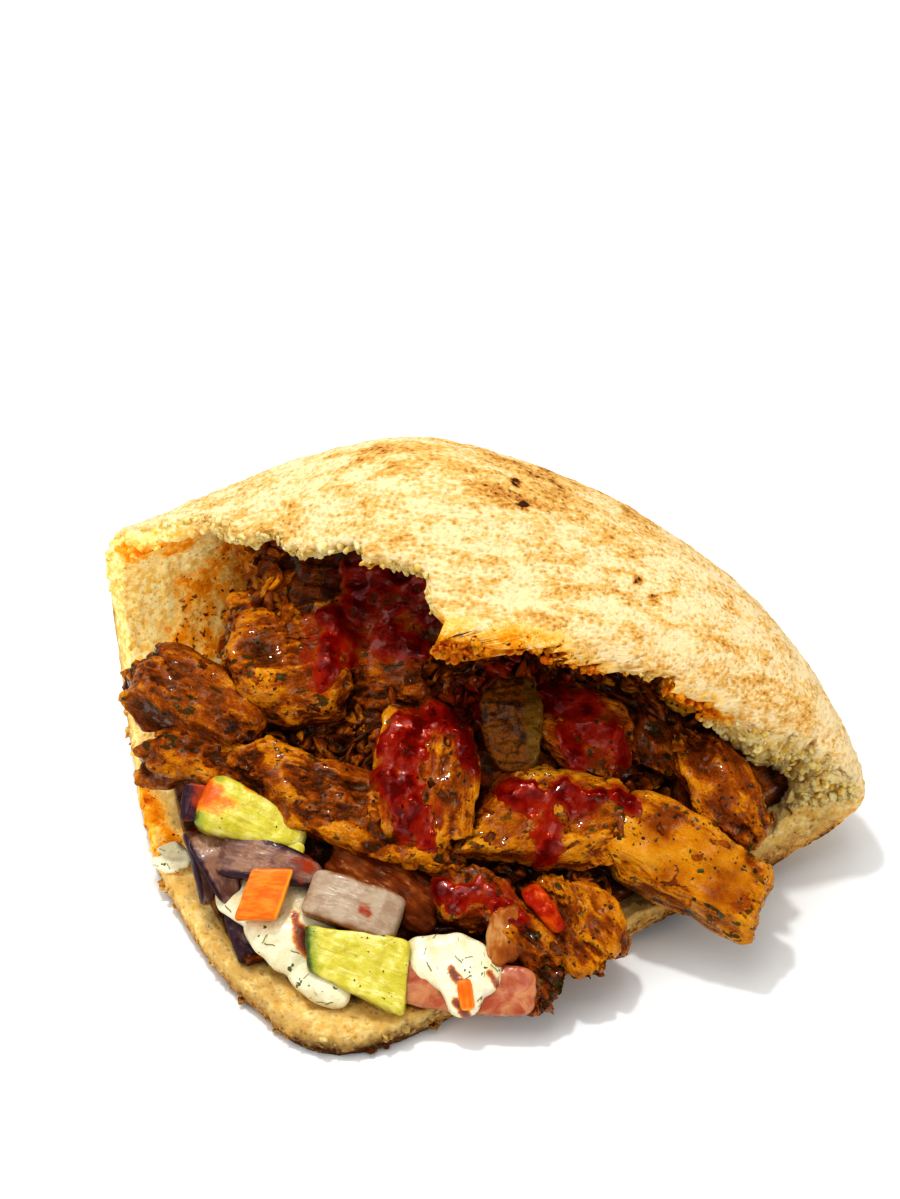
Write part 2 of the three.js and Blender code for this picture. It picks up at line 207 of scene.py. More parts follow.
def make_piece(name, points, quads, material, replaces=(), slot=None, **attributes):
    """Puts a surface into a mesh that rides on the part. An attribute has a number or a vector
    for each vertex."""
    mesh = bpy.data.meshes.new(name)
    mesh.vertices.add(len(points))
    mesh.vertices.foreach_set("co", ((points + ORIGIN) * MM).astype(np.float32).ravel())
    mesh.loops.add(quads.size)
    mesh.loops.foreach_set("vertex_index", quads.astype(np.int32).ravel())
    mesh.polygons.add(len(quads))
    mesh.polygons.foreach_set("loop_start", np.arange(0, quads.size, 4, dtype=np.int32))
    mesh.polygons.foreach_set("use_smooth", np.ones(len(quads), bool))
    for key, values in attributes.items():
        is_vector = np.ndim(values) == 2
        layer = mesh.attributes.new(key, "FLOAT_VECTOR" if is_vector else "FLOAT", "POINT")
        layer.data.foreach_set("vector" if is_vector else "value", np.asarray(values, np.float32).ravel())
    mesh.update(calc_edges=True)
    mesh.validate()
    piece = bpy.data.objects.new(name, mesh)
    bpy.context.scene.collection.objects.link(piece)
    mesh.materials.append(material)
    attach(piece, "root")
    if replaces:
        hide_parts(*replaces)
    return piece


def joined(parts):
    """One surface from several (points, quads) surfaces."""
    firsts = np.cumsum([0] + [len(points) for points, _ in parts[:-1]])
    return np.concatenate([p for p, _ in parts]), np.concatenate([q + f for (_, q), f in zip(parts, firsts)])


def copies(template, quads, places, axes, sizes):
    """Copies of one small surface: each is stretched by its sizes, turned to its axes and put in its place."""
    points = np.einsum("nk,mk,mkj->mnj", template, sizes, axes) + places[:, None]
    numbers = quads[None] + np.arange(len(places))[:, None, None] * len(template)
    return points.reshape(-1, 3), numbers.reshape(-1, 4)


# ---------------------------------------------------------------------------
# Shader nodes
# ---------------------------------------------------------------------------
class Recipe:
    """Adds nodes to a tree and links them. An input is a number, a colour or another node's output."""

    def __init__(self, tree):
        self.tree = tree

    def connect(self, node, inputs):
        """Links or sets a node's inputs, each by its name or, as i0, by its number."""
        for key, value in inputs.items():
            socket = node.inputs[int(key[1:])] if key[1:].isdigit() else node.inputs[key.replace("_", " ")]
            if isinstance(value, bpy.types.NodeSocket):
                self.tree.links.new(value, socket)
            elif socket.type == "RGBA":
                socket.default_value = (*value[:3], 1.0)
            else:
                socket.default_value = value

    def add(self, kind, output=0, options=None, **inputs):
        """One output of a new node, by its number or name."""
        node = self.tree.nodes.new("ShaderNode" + kind)
        for key, value in (options or {}).items():
            setattr(node, key, value)
        self.connect(node, inputs)
        return node.outputs[output]

    def group(self, tree, **inputs):
        """The first output of a node group."""
        node = self.tree.nodes.new("ShaderNodeGroup")
        node.node_tree = tree
        self.connect(node, inputs)
        return node.outputs[0]

    def attribute(self, name, vector=False):
        return self.add("Attribute", "Vector" if vector else "Fac", {"attribute_name": name})

    def position(self):
        return self.add("TexCoord", "Object")

    def stretched(self, vector, scale, turn=(0, 0, 0)):
        """A vector that changes more slowly, so that noise is drawn out, along each scale below 1."""
        return self.add("Mapping", Vector=vector, Scale=scale, Rotation=turn)

    def noise(self, vector, size, detail=4.0, roughness=0.55, distortion=0.0):
        """Noise whose features are about this many millimetres across."""
        shape = dict(Detail=detail, Roughness=roughness, Distortion=distortion)
        return self.add("TexNoise", "Fac", Vector=vector, Scale=1 / (size * MM), **shape)

    def cells(self, vector, size):
        """Distance to the middle of the nearest cell, for cells of this many millimetres."""
        return self.add("TexVoronoi", "Distance", Vector=vector, Scale=1 / (size * MM))

    def math(self, operation, a, b=0.0):
        return self.add("Math", 0, {"operation": operation}, i0=a, i1=b)

    def times(self, a, b):
        return self.math("MULTIPLY", a, b)

    def plus(self, value, *parts):
        """The value plus each of some (amount, part), the part multiplied by its amount."""
        for amount, part in parts:
            value = self.math("ADD", value, self.times(part, amount))
        return value

    def vary(self, value, *parts):
        """The value plus each of some (amount, part), by how far the part is above or below a half."""
        return self.plus(value, *((amount, self.math("SUBTRACT", part, 0.5)) for amount, part in parts))

    def range(self, value, low, high, to_low=0.0, to_high=1.0):
        """Goes smoothly from one level to another while the value goes from low to high."""
        smoothly = {"interpolation_type": "SMOOTHSTEP"}
        return self.add("MapRange", 0, smoothly, Value=value, i1=low, i2=high, i3=to_low, i4=to_high)

    def mix(self, factor, a, b):
        return self.add("Mix", 0, {"data_type": "FLOAT"}, i0=factor, i2=a, i3=b)

    def blend(self, factor, a, b):
        """A colour between two others."""
        return self.add("Mix", 2, {"data_type": "RGBA"}, i0=factor, i6=a, i7=b)

    def ramp(self, value, *stops):
        """A colour that goes through these stops, each a position and a colour."""
        output = self.add("ValToRGB", 0, i0=value)
        elements = output.node.color_ramp.elements
        while len(elements) < len(stops):
            elements.new(0.5)
        for element, (place, tint) in zip(elements, stops):
            element.position = place
            element.color = (*tint[:3], 1.0)
        return output

    def specks(self, vector, size, share):
        return self.group(speck_group(), Vector=vector, Size=size, Share=share)

    def wet(self, vector, coarse, fine, fine_share):
        return self.group(wet_group(), Vector=vector, Coarse=coarse, Fine=fine, Fine_Share=fine_share)

    def bump(self, height, distance, strength=1.0):
        """A normal from a height, whose full range stands for this many millimetres."""
        return self.add("Bump", 0, Height=height, Distance=distance * MM, Strength=strength)

    def finish(self, subsurface=None, **inputs):
        """The surface itself, with what is the same all over it set on its own sockets. Subsurface
        is how much light scatters inside it, in which colour, and how far in millimetres."""
        if subsurface:
            weight, radius, depth = subsurface
            inputs.update(Subsurface_Weight=weight, Subsurface_Radius=radius, Subsurface_Scale=depth * MM)
        shader = self.add("BsdfPrincipled", 0, **inputs)
        output = self.tree.nodes.new("ShaderNodeOutputMaterial")
        self.tree.links.new(shader, output.inputs["Surface"])


def new_group(name, inputs, outputs):
    """A node group with named inputs, each with its kind and default, and outputs. Gives its
    tree and both ends of it."""
    tree = bpy.data.node_groups.new(name, "ShaderNodeTree")
    for socket, (kind, default) in inputs.items():
        made = tree.interface.new_socket(socket, in_out="INPUT", socket_type="NodeSocket" + kind)
        if default is not None:
            made.default_value = default
    for socket, kind in outputs.items():
        tree.interface.new_socket(socket, in_out="OUTPUT", socket_type="NodeSocket" + kind)
    entry = tree.nodes.new("NodeGroupInput").outputs
    way_out = tree.nodes.new("NodeGroupOutput").inputs
    return tree, entry, way_out


@lru_cache(maxsize=None)
def speck_group():
    """Small ragged specks: the highest peaks of fine noise, more of them in some places than in others."""
    tree, entry, way_out = new_group(
        "Specks",
        {"Vector": ("Vector", None), "Size": ("Float", 1.5), "Share": ("Float", 0.3)},
        {"Mask": "Float"},
    )
    r = Recipe(tree)
    scale = r.math("DIVIDE", 1 / MM, entry["Size"])
    peaks = r.add("TexNoise", "Fac", Vector=entry["Vector"], Scale=scale, Detail=1.5, Roughness=0.6)
    where = r.add("TexNoise", "Fac", Vector=entry["Vector"], Scale=r.times(scale, 0.17), Detail=2.0)
    level = r.math("SUBTRACT", 0.78, r.times(entry["Share"], 0.25))
    mask = r.range(r.math("SUBTRACT", r.vary(peaks, (0.45, where)), level), 0.0, 0.045)
    tree.links.new(mask, way_out["Mask"])
    return tree


@lru_cache(maxsize=None)
def wet_group():
    """Height of a wet, uneven surface: two sizes of noise, the coarse one stretched with its vector."""
    tree, entry, way_out = new_group(
        "Wet relief",
        {
            "Vector": ("Vector", None),
            "Coarse": ("Float", 2.0),
            "Fine": ("Float", 0.5),
            "Fine Share": ("Float", 0.35),
        },
        {"Height": "Float"},
    )
    r = Recipe(tree)
    coarse, fine = (
        r.add("TexNoise", "Fac", Vector=entry["Vector"], Scale=r.math("DIVIDE", 1 / MM, entry[key]), Detail=3.0)
        for key in ("Coarse", "Fine")
    )
    tree.links.new(r.mix(entry["Fine Share"], coarse, fine), way_out["Height"])
    return tree


def material(build):
    """Turns a function that fills a node tree into one that makes its material once."""
    name = build.__name__

    @lru_cache(maxsize=None)
    def make(*choices):
        made = bpy.data.materials.new("_".join([name, *map(str, choices)]))
        made.use_nodes = True
        made.node_tree.nodes.clear()
        build(Recipe(made.node_tree), *choices)
        return made

    return make


# ---------------------------------------------------------------------------
# What a user may change
# ---------------------------------------------------------------------------
def colour(name, description, red, green, blue):
    return FloatVectorProperty(
        name=name, description=description, subtype="COLOR", size=3, min=0, max=1, default=srgb(red, green, blue)
    )


def length(name, description, millimetres):
    return FloatProperty(
        name=name, description=description, subtype="DISTANCE", unit="LENGTH", min=0, default=millimetres * MM
    )


def how_many(name, description, number):
    return IntProperty(name=name, description=description, default=number, min=0)


class BreadSettings(bpy.types.PropertyGroup):
    lip_tear: length("Lip tear", "How far the torn upper lips wander", 1.1)
    crust_relief: length("Crust relief", "Height of the crust's blisters", 0.55)
    crumb_relief: length("Crumb relief", "Depth of the crumb's pores", 0.7)
    crumbs: how_many("Crumbs", "Ragged crumbs that cling to the torn and cut edges", 760)
    pale: colour("Pale crust", "Floury crust", 238, 214, 168)
    golden: colour("Golden crust", "Lightly toasted crust", 222, 176, 100)
    toasted: colour("Toasted crust", "Browned blisters", 180, 124, 58)
    charred: colour("Charred crust", "The darkest spots", 78, 46, 22)
    crumb: colour("Crumb", "Torn white crumb", 250, 232, 172)
    straw: colour("Dense crumb", "Denser, yellower crumb", 236, 194, 100)
    floor_crumb: colour("Floor crumb", "Browner crumb low down", 200, 162, 98)
    pores: colour("Pores", "Shade inside the crumb's pores", 166, 112, 46)
    soaked: colour("Soaked bread", "Bread stained by marinade", 238, 158, 18)


class ChickenSettings(bpy.types.PropertyGroup):
    fibre_depth: length("Fibre depth", "Depth of the grooves between fibres", 0.2)
    flake_height: length("Flakes", "Height of the layered flakes on a piece", 0.8)
    shreds: how_many("Shreds", "Small shreds that cling to the pieces", 54)
    scraps: how_many("Scraps", "Torn scraps in the gaps between the pieces", 560)
    wall_scraps: how_many("Scraps by the wall", "Torn scraps on the heap's steep left end", 110)
    # the ramp's darkest end: burnt meat, and the creases that proud's painted shade brings down to it
    burnt: colour("Burnt", "Darkest creases", 56, 25, 6)
    brown: colour("Brown", "Roasted marinade", 102, 47, 7)
    orange: colour("Orange", "Marinade", 148, 74, 6)
    yellow: colour("Yellow", "Turmeric-yellow flesh", 204, 136, 18)
    flesh: colour("Flesh", "Pale torn flesh", 216, 166, 62)
    # painted shade for meat deep in the gaps between the pieces
    gap: colour("Gaps", "Meat deep between the pieces", 62, 22, 6)


class SauceSettings(bpy.types.PropertyGroup):
    ketchup_thickness: length("Ketchup", "Thickness of the ketchup", 1.3)
    ketchup: colour("Ketchup", "Ketchup where it is thick", 120, 5, 0)
    thin_ketchup: colour("Thin ketchup", "Ketchup where it runs out", 148, 36, 3)
    yoghurt: colour("Yoghurt", "Yoghurt sauce", 238, 230, 198)
    herb: colour("Herbs", "Dried green herbs", 46, 47, 13)
    pepper: colour("Pepper", "Ground black pepper", 24, 14, 8)
    pepper_grains: how_many("Pepper grains", "Grains of ground pepper on the meat", 150)
    herb_flakes: how_many("Herb flakes", "Flakes of herb on the meat", 90)
    dill_strands: how_many("Dill", "Strands of dill in the yoghurt", 34)


class SaladSettings(bpy.types.PropertyGroup):
    cucumber: colour("Cucumber", "Cucumber flesh", 206, 194, 68)
    cucumber_skin: colour("Cucumber skin", "Its green skin", 70, 84, 16)
    onion: colour("Onion", "Onion flesh", 184, 164, 140)
    onion_skin: colour("Onion skin", "Purple skin of the layers", 56, 20, 36)
    carrot: colour("Carrot", "Carrot", 226, 108, 10)
    tomato: colour("Tomato", "Tomato flesh", 168, 84, 54)
    pepper: colour("Red pepper", "Skin of the pepper strip", 158, 34, 2)


class StageSettings(bpy.types.PropertyGroup):
    floor: colour("Floor", "Table top", 246, 247, 247)
    key_power: FloatProperty(
        name="Key light", description="Power of the large soft light", unit="POWER", default=3.75
    )
    sky: FloatProperty(name="Sky", description="Strength of the white light from all round", default=0.4)
    focal_length: FloatProperty(
        name="Focal length", description="Of the camera's lens", unit="CAMERA", default=72.06, min=1
    )


def settings(name):
    """One of the groups of settings, by its name."""
    return getattr(bpy.context.scene, "kebab_" + name)


# ---------------------------------------------------------------------------
# Bread
# ---------------------------------------------------------------------------
LOWER_TIP = (-41.0, -81.0)
UPPER_TIP = (-13.0, -14.0)
UPPER_TIP_Z = 76.0
RADIUS_RIGHT, RADIUS_LEFT, FOLD_BULGE = 148.0, 135.0, 7.0
ANGLE_RIGHT, ANGLE_LEFT = np.radians(29.6), np.radians(114)
FOLD_Z_RIGHT, FOLD_Z_MIDDLE_RISE, FOLD_Z_LEFT = 21.0, 1.7, 40.7
CREST_RISE = 19.0
THICKNESS, FOLD_THICKNESS, LIP_THICKNESS = 6.5, 9.0, 5.0
CORNER_ROUNDING, LEFT_CUT_BOW = 9.5, 11.0
RIGHT_LIFT, LEFT_LIFT = 6.0, 3.0
CRUMB_SWELL, CRUMB_SPREAD = 11.0, 0.2
LIP_SAG, LIP_SAG_SPREAD = 14.0, 0.14
END_DROOP, END_DROOP_PLACE, END_DROOP_SPREAD = 3.5, 0.93, 0.06
SHEET_SIDE = 145.0  # along a cut, for turning millimetres into shares of the sheet
CUT_WANDER = (0.4, 0.15)  # how far the cuts stray, in large waves and in small ones
LIP_FADE = (3 / 140, 26 / 140)  # where the paler band along a lip ends, as shares of the sheet
BREAD_STEPS = 212  # along each side of the sheet
EDGE_CROWDING = 0.42  # how much closer together the steps are near the cuts and lips
TANGENT_STEP = 0.004
RIM_ROWS = 7
RIM_BULGE = 0.9
MOTTLE_ALONG, MOTTLE_ACROSS = (0.91, -0.42, 0), (0.42, 0.91, 0)  # the way that the crust's mottles run
MOTTLE_TURN = (0, 0, 0.43)


def fold_point(q):
    """A swept arc about the lower corner, from the right cut (q 0) to the left (q 1), higher towards the left."""
    angle = lerp(ANGLE_RIGHT, ANGLE_LEFT, q)
    radius = lerp(RADIUS_RIGHT, RADIUS_LEFT, q) + FOLD_BULGE * np.sin(np.pi * q**0.56)
    z = lerp(FOLD_Z_RIGHT, FOLD_Z_LEFT, q) + FOLD_Z_MIDDLE_RISE * np.sin(np.pi * q)
    return np.stack([LOWER_TIP[0] + radius * np.cos(angle), LOWER_TIP[1] + radius * np.sin(angle), z], -1)


def thickness_at(total):
    """The bread's thickness over the sheet: greatest at the fold and least at the upper lips."""
    upper = lerp(FOLD_THICKNESS, LIP_THICKNESS, smooth(total, 1, 1.8))
    return np.where(total <= 1, lerp(THICKNESS, FOLD_THICKNESS, smooth(total, 0.6, 1)), upper)


def lower_point(q, reach):
    """The lower layer: flat, then a quarter of a superellipse up to the fold, its left cut bowed
    outwards and its corner drawn in by an exponential."""
    fold = fold_point(q)
    start = lerp(0.72, 0.5, smooth(q, 0.6, 1))
    bend = np.clip((reach - start) / (1 - start), 0, 1)
    base = thickness_at(reach) / 2 + (RIGHT_LIFT * smooth(1 - q, 0.62, 1) + LEFT_LIFT * smooth(q, 0.7, 1)) * reach
    rise = 1 - (1 - bend**2.3) ** (1 / 2.3)
    outward = LEFT_CUT_BOW * q**3 * np.sin(np.pi * reach)
    rounding = CORNER_ROUNDING * np.exp(-reach / 0.09)
    x = lerp(LOWER_TIP[0], fold[..., 0], reach) - outward + rounding * 0.35
    y = lerp(LOWER_TIP[1], fold[..., 1], reach) - outward * 0.45 + rounding * 0.94
    return np.stack([x, y, lerp(base, fold[..., 2], rise)], -1)


def upper_point(q, travel):
    """The upper layer: a quarter of a superellipse from the fold to the lifted corner, plus a
    swell of sines."""
    fold = fold_point(q)
    middle = np.maximum(0, np.sin(np.pi * q**1.4))
    power = lerp(lerp(1.45, 3.4, q), 3.9, np.sqrt(middle))
    turn = np.pi / 2 * travel
    share = 1 - np.cos(turn) ** (2 / power)
    rise = np.sin(turn) ** (2 / power)
    swell = CREST_RISE * middle**1.55 * np.abs(np.sin(np.pi * share**0.7)) ** 1.25
    x, y = lerp(fold[..., 0], UPPER_TIP[0], share), lerp(fold[..., 1], UPPER_TIP[1], share)
    return np.stack([x, y, lerp(fold[..., 2], UPPER_TIP_Z, rise) + swell], -1)


def sheet_point(s, t):
    """The whole sheet over the unit square: the lower layer below its diagonal, the upper one above."""
    total = s + t
    back = np.maximum(2 - total, 0)

    def share(part, whole):
        """The part of the whole, and a half at a corner, where both are nothing."""
        return np.clip(np.where(whole > 1e-9, part / np.maximum(whole, 1e-9), 0.5), 0, 1)

    low = lower_point(share(t, total), np.minimum(total, 1))
    up = upper_point(share(1 - s, back), np.clip(1 - back, 0, 1))
    return np.where((total <= 1)[..., None], low, up)


def torn_sheet_point(s, t):
    """The sheet with the left lip of the upper layer set back as far as the solid's."""
    set_back = (0.022 * smooth(s, 0.3, 0.6) - 0.008 * smooth(s, 0.6, 0.93)) * (1 - smooth(s, 0.972, 1))
    return sheet_point(s, t * (1 - set_back))


def sheet_tangents(s, t, point=torn_sheet_point):
    """Unit tangents of the sheet along both its sides, and its normal towards the crumb."""
    s, t = np.clip(s, TANGENT_STEP, 1 - TANGENT_STEP), np.clip(t, TANGENT_STEP, 1 - TANGENT_STEP)
    along = unit(point(s + TANGENT_STEP, t) - point(s - TANGENT_STEP, t))
    across = unit(point(s, t + TANGENT_STEP) - point(s, t - TANGENT_STEP))
    return along, across, unit(np.cross(along, across))


def crumb_swell(s, t):
    """How far the crumb inside the right end of the fold swells back along the cut, and hangs
    under the lip above it: bells of the distance to the corner, to the lip and to the lip's tip."""
    amount = CRUMB_SWELL * np.exp(-((1 - s) ** 2 + t**2) / CRUMB_SPREAD**2)
    sag = LIP_SAG * np.exp(-(((1 - s) / LIP_SAG_SPREAD) ** 2)) * smooth(t, 0.1, 0.32) * (1 - smooth(t, 0.32, 0.6))
    droop = END_DROOP * np.exp(-((1 - s) ** 2 + (END_DROOP_PLACE - t) ** 2) / END_DROOP_SPREAD**2)
    return np.stack([-amount * np.cos(ANGLE_RIGHT), -amount * np.sin(ANGLE_RIGHT), -sag - droop], -1)


def wander(along, seed, large, small):
    """How far an edge strays, as a share of the sheet: fractal noise of two sizes along it."""
    place = np.stack([along * SHEET_SIDE, np.full_like(along, seed * 9.7), np.zeros_like(along)], -1)
    return (large * fractal(place, 16, 2, seed) + small * fractal(place, 3.2, 4, seed + 5)) / SHEET_SIDE


def blotches(points, spots):
    """The strongest of some round spots, each x, y, z, radius and strength, fading out towards its radius."""
    total = np.zeros(points.shape[:-1])
    for x, y, z, radius, strength in spots:
        away = np.linalg.norm(points - (x, y, z), axis=-1) / radius
        total = np.maximum(total, strength * (1 - smooth(away, 0.35, 1)))
    return total


# Places of marinade on the bread, and of burnt crust: x, y, z, radius, strength
MARINADE_SPOTS = (
    (-11, -14, 75, 12, 1.0), (-2, -13, 74, 9, 0.9), (5, -13, 75, 9, 1.0), (14, -12, 71, 9, 1.0), (24, -11, 65, 9, 0.9),
    (33, -10, 62, 7, 0.6), (41, -10, 58, 8, 0.9), (49, -10, 54, 9, 1.0), (55, -9, 51, 6, 0.8),
    (-27, 6, 76, 9, 0.5), (-42, 20, 68, 12, 0.7), (-56, 30, 64, 12, 0.8), (-66, 34, 62, 12, 0.9),
    (-78, 38, 58, 12, 0.7), (-89, 37, 60, 8, 0.7), (-74, 46, 40, 12, 0.62), (-66, 50, 47, 11, 0.7),
    (-76, 42, 28, 12, 0.6), (-64, 46, 34, 13, 0.75),
    (-82, 26, 26, 9, 0.6), (-84, 12, 18, 8, 0.7), (-92, 2, 10, 10, 0.6), (-88, -4, 9, 11, 0.7), (-84, -12, 8, 10, 0.6),
    (-80, -19, 8, 7, 0.4), (-93, 12, 14, 8, 0.4),
)
BURNT_SPOTS = (
    (5.8, 27.3, 91.7, 2.2, 1.0), (7.6, 20.7, 90.5, 2.4, 0.8), (26, 31, 85, 3, 0.8), (31, 27, 83, 2.5, 0.8),
    (35, 8, 77.5, 2.5, 0.8), (38, 4, 75, 2.2, 0.7), (47, -2, 67, 1.5, 0.7), (14, 40, 88, 4, 0.7), (-4, 46, 86, 3, 0.5),
    (70, 20, 50, 4, 0.5), (84, 0, 34, 4, 0.7), (80, 8, 40, 4, 0.5),
    (-42, -78, 2, 13, 1.0), (-30, -74, 2, 11, 0.9), (-18, -70, 2, 9, 0.7),
)


def bread_sides(s, t, swell):
    """The crust and the crumb: the sheet moved half its thickness to either side. The crust has
    stretched blisters and the crumb has pores, and the torn upper lips wander, each most near its
    own edge. Gives the heights of the blisters and pores too."""
    bread = settings("bread")
    tear = bread.lip_tear / MM
    lip_wander = tear, 0.45 * tear
    s_torn = s - wander(t, 1, *lip_wander) * s**10 * smooth(t, 0.03, 0.1) + wander(t, 3, *CUT_WANDER) * (1 - s) ** 10
    t_torn = t - wander(s, 2, *lip_wander) * t**10 * smooth(s, 0.03, 0.1) + wander(s, 4, *CUT_WANDER) * (1 - t) ** 10
    middle = torn_sheet_point(s_torn, t_torn)
    half = thickness_at(s + t)[..., None] / 2
    turned = np.stack([middle @ MOTTLE_ALONG, middle @ MOTTLE_ACROSS, middle[..., 2]], -1)
    blisters = 0.6 * fractal(turned, (9, 4.5, 4.5), 3, 7) + 0.4 * ridges(turned, (6, 3, 3), 2, 9)
    crust = bread.crust_relief / MM * (blisters + 0.9 * fractal(middle, 26, 2, 5)) + 0.14 * noise(middle, 1.5, 12)
    pores = 1 - smooth(pits(middle, 3.4, 2), 0.1, 0.62)
    crumb = bread.crumb_relief / MM * (0.8 * fractal(middle, 6, 3, 6) - 0.9 * pores) + 0.15 * noise(middle, 1.3, 13)
    crumb += 0.13 * np.linalg.norm(swell, axis=-1) * fractal(middle, 5, 3, 18)
    normal = sheet_tangents(s, t)[2]
    outer = middle - normal * (half + crust[..., None])
    inner = middle + normal * (half + crumb[..., None]) + swell
    return outer.reshape(-1, 3), inner.reshape(-1, 3), blisters, pores


def bread_rim(low, high, share, total, outwards, swell):
    """Rows of points between two edges. They bulge outwards with a sine, and noise makes them
    ragged: gently where the lower layer is cut, and strongly where the upper one is torn."""
    torn = smooth(total, 0.9, 1.1)
    rim = lerp(low, high, share[..., None])
    ragged = 0.8 * fractal(rim, 3.2, 3, 21) + 0.35 * noise(rim, 1.1, 25)
    ragged *= (1 + 0.14 * np.linalg.norm(swell, axis=-1)) * lerp(0.5, 1, torn)
    ragged *= np.sin(np.pi * share) ** lerp(1.3, 0.5, torn)
    return rim + outwards * (RIM_BULGE * np.sin(np.pi * share) + ragged)[..., None]


def bread_surface():
    """A closed skin: the crust, the crumb and a rim between them. Gives its points, its faces and
    what the material needs to know about each vertex."""
    steps = np.linspace(0, 1, BREAD_STEPS + 1)
    steps = steps - EDGE_CROWDING * np.sin(2 * np.pi * steps) / (2 * np.pi)
    s, t = np.meshgrid(steps, steps, indexing="xy")
    swell = crumb_swell(s, t)
    outer, inner, blisters, pores = bread_sides(s, t, swell)

    index = np.arange(s.size).reshape(s.shape)
    loop = np.concatenate([index[0, :-1], index[:-1, -1], index[-1, :0:-1], index[:0:-1, 0]])
    along, across, _ = sheet_tangents(s, t)
    outwards = unit(
        along * (np.isclose(s, 1).astype(float) - np.isclose(s, 0))[..., None]
        + across * (np.isclose(t, 1).astype(float) - np.isclose(t, 0))[..., None]
    )
    total = (s + t).reshape(-1)
    share = (np.arange(1, RIM_ROWS) / RIM_ROWS)[:, None]
    rim = bread_rim(
        outer[loop], inner[loop], share, total[loop], outwards.reshape(-1, 3)[loop], swell.reshape(-1, 3)[loop]
    )
    points = np.concatenate([outer, inner, rim.reshape(-1, 3)])
    points[:, 2] = np.maximum(points[:, 2], 0)
    rows = 2 * s.size + np.arange(rim.shape[0] * rim.shape[1]).reshape(rim.shape[:2])
    rings = np.concatenate([loop[None], rows, loop[None] + s.size])
    rings = np.concatenate([rings, rings[:, :1]], 1)
    skin = grid_quads(index)
    quads = np.concatenate([skin, (skin + s.size)[:, ::-1], grid_quads(rings)[:, ::-1]])

    def on_parts(crust, crumb, rim_rows):
        """A number for each vertex, from those of the crust, of the crumb and of the rim."""
        whole, rows = np.ones(s.size), np.ones(rim.shape[:2])
        return np.concatenate([whole * np.ravel(crust), whole * np.ravel(crumb), np.ravel(rows * rim_rows)])

    edge = np.minimum.reduce([s, t, 1 - s, 1 - t])
    total = on_parts(total, total, total[loop])
    is_crumb = on_parts(0, 1, smooth(share, 0.05, 0.3))
    stain = blotches(points, MARINADE_SPOTS)
    stain = stain + 0.35 * fractal(points, 5, 3, 31) * (stain > 0)
    looks = dict(
        crumb=is_crumb,
        raised=on_parts(blisters, -pores, 0),
        lip=(total > 1) * (1 - smooth(on_parts(edge, edge, 0), *LIP_FADE)),
        stain=np.clip(stain * np.where(is_crumb > 0.3, 1, 0.6), 0, 1),
        baked=(1 - smooth(total, 0.85, 1.05)) * on_parts(1, 0, 1 - smooth(share, 0.35, 0.9)),
        burnt=blotches(points, BURNT_SPOTS),
        # painted glow: marks the crumb of the thin left wall to shine in its own colour, standing in for light through
        # it
        painted_glow=smooth(-points[:, 0], 58, 84) * is_crumb,
    )
    return points, quads, looks


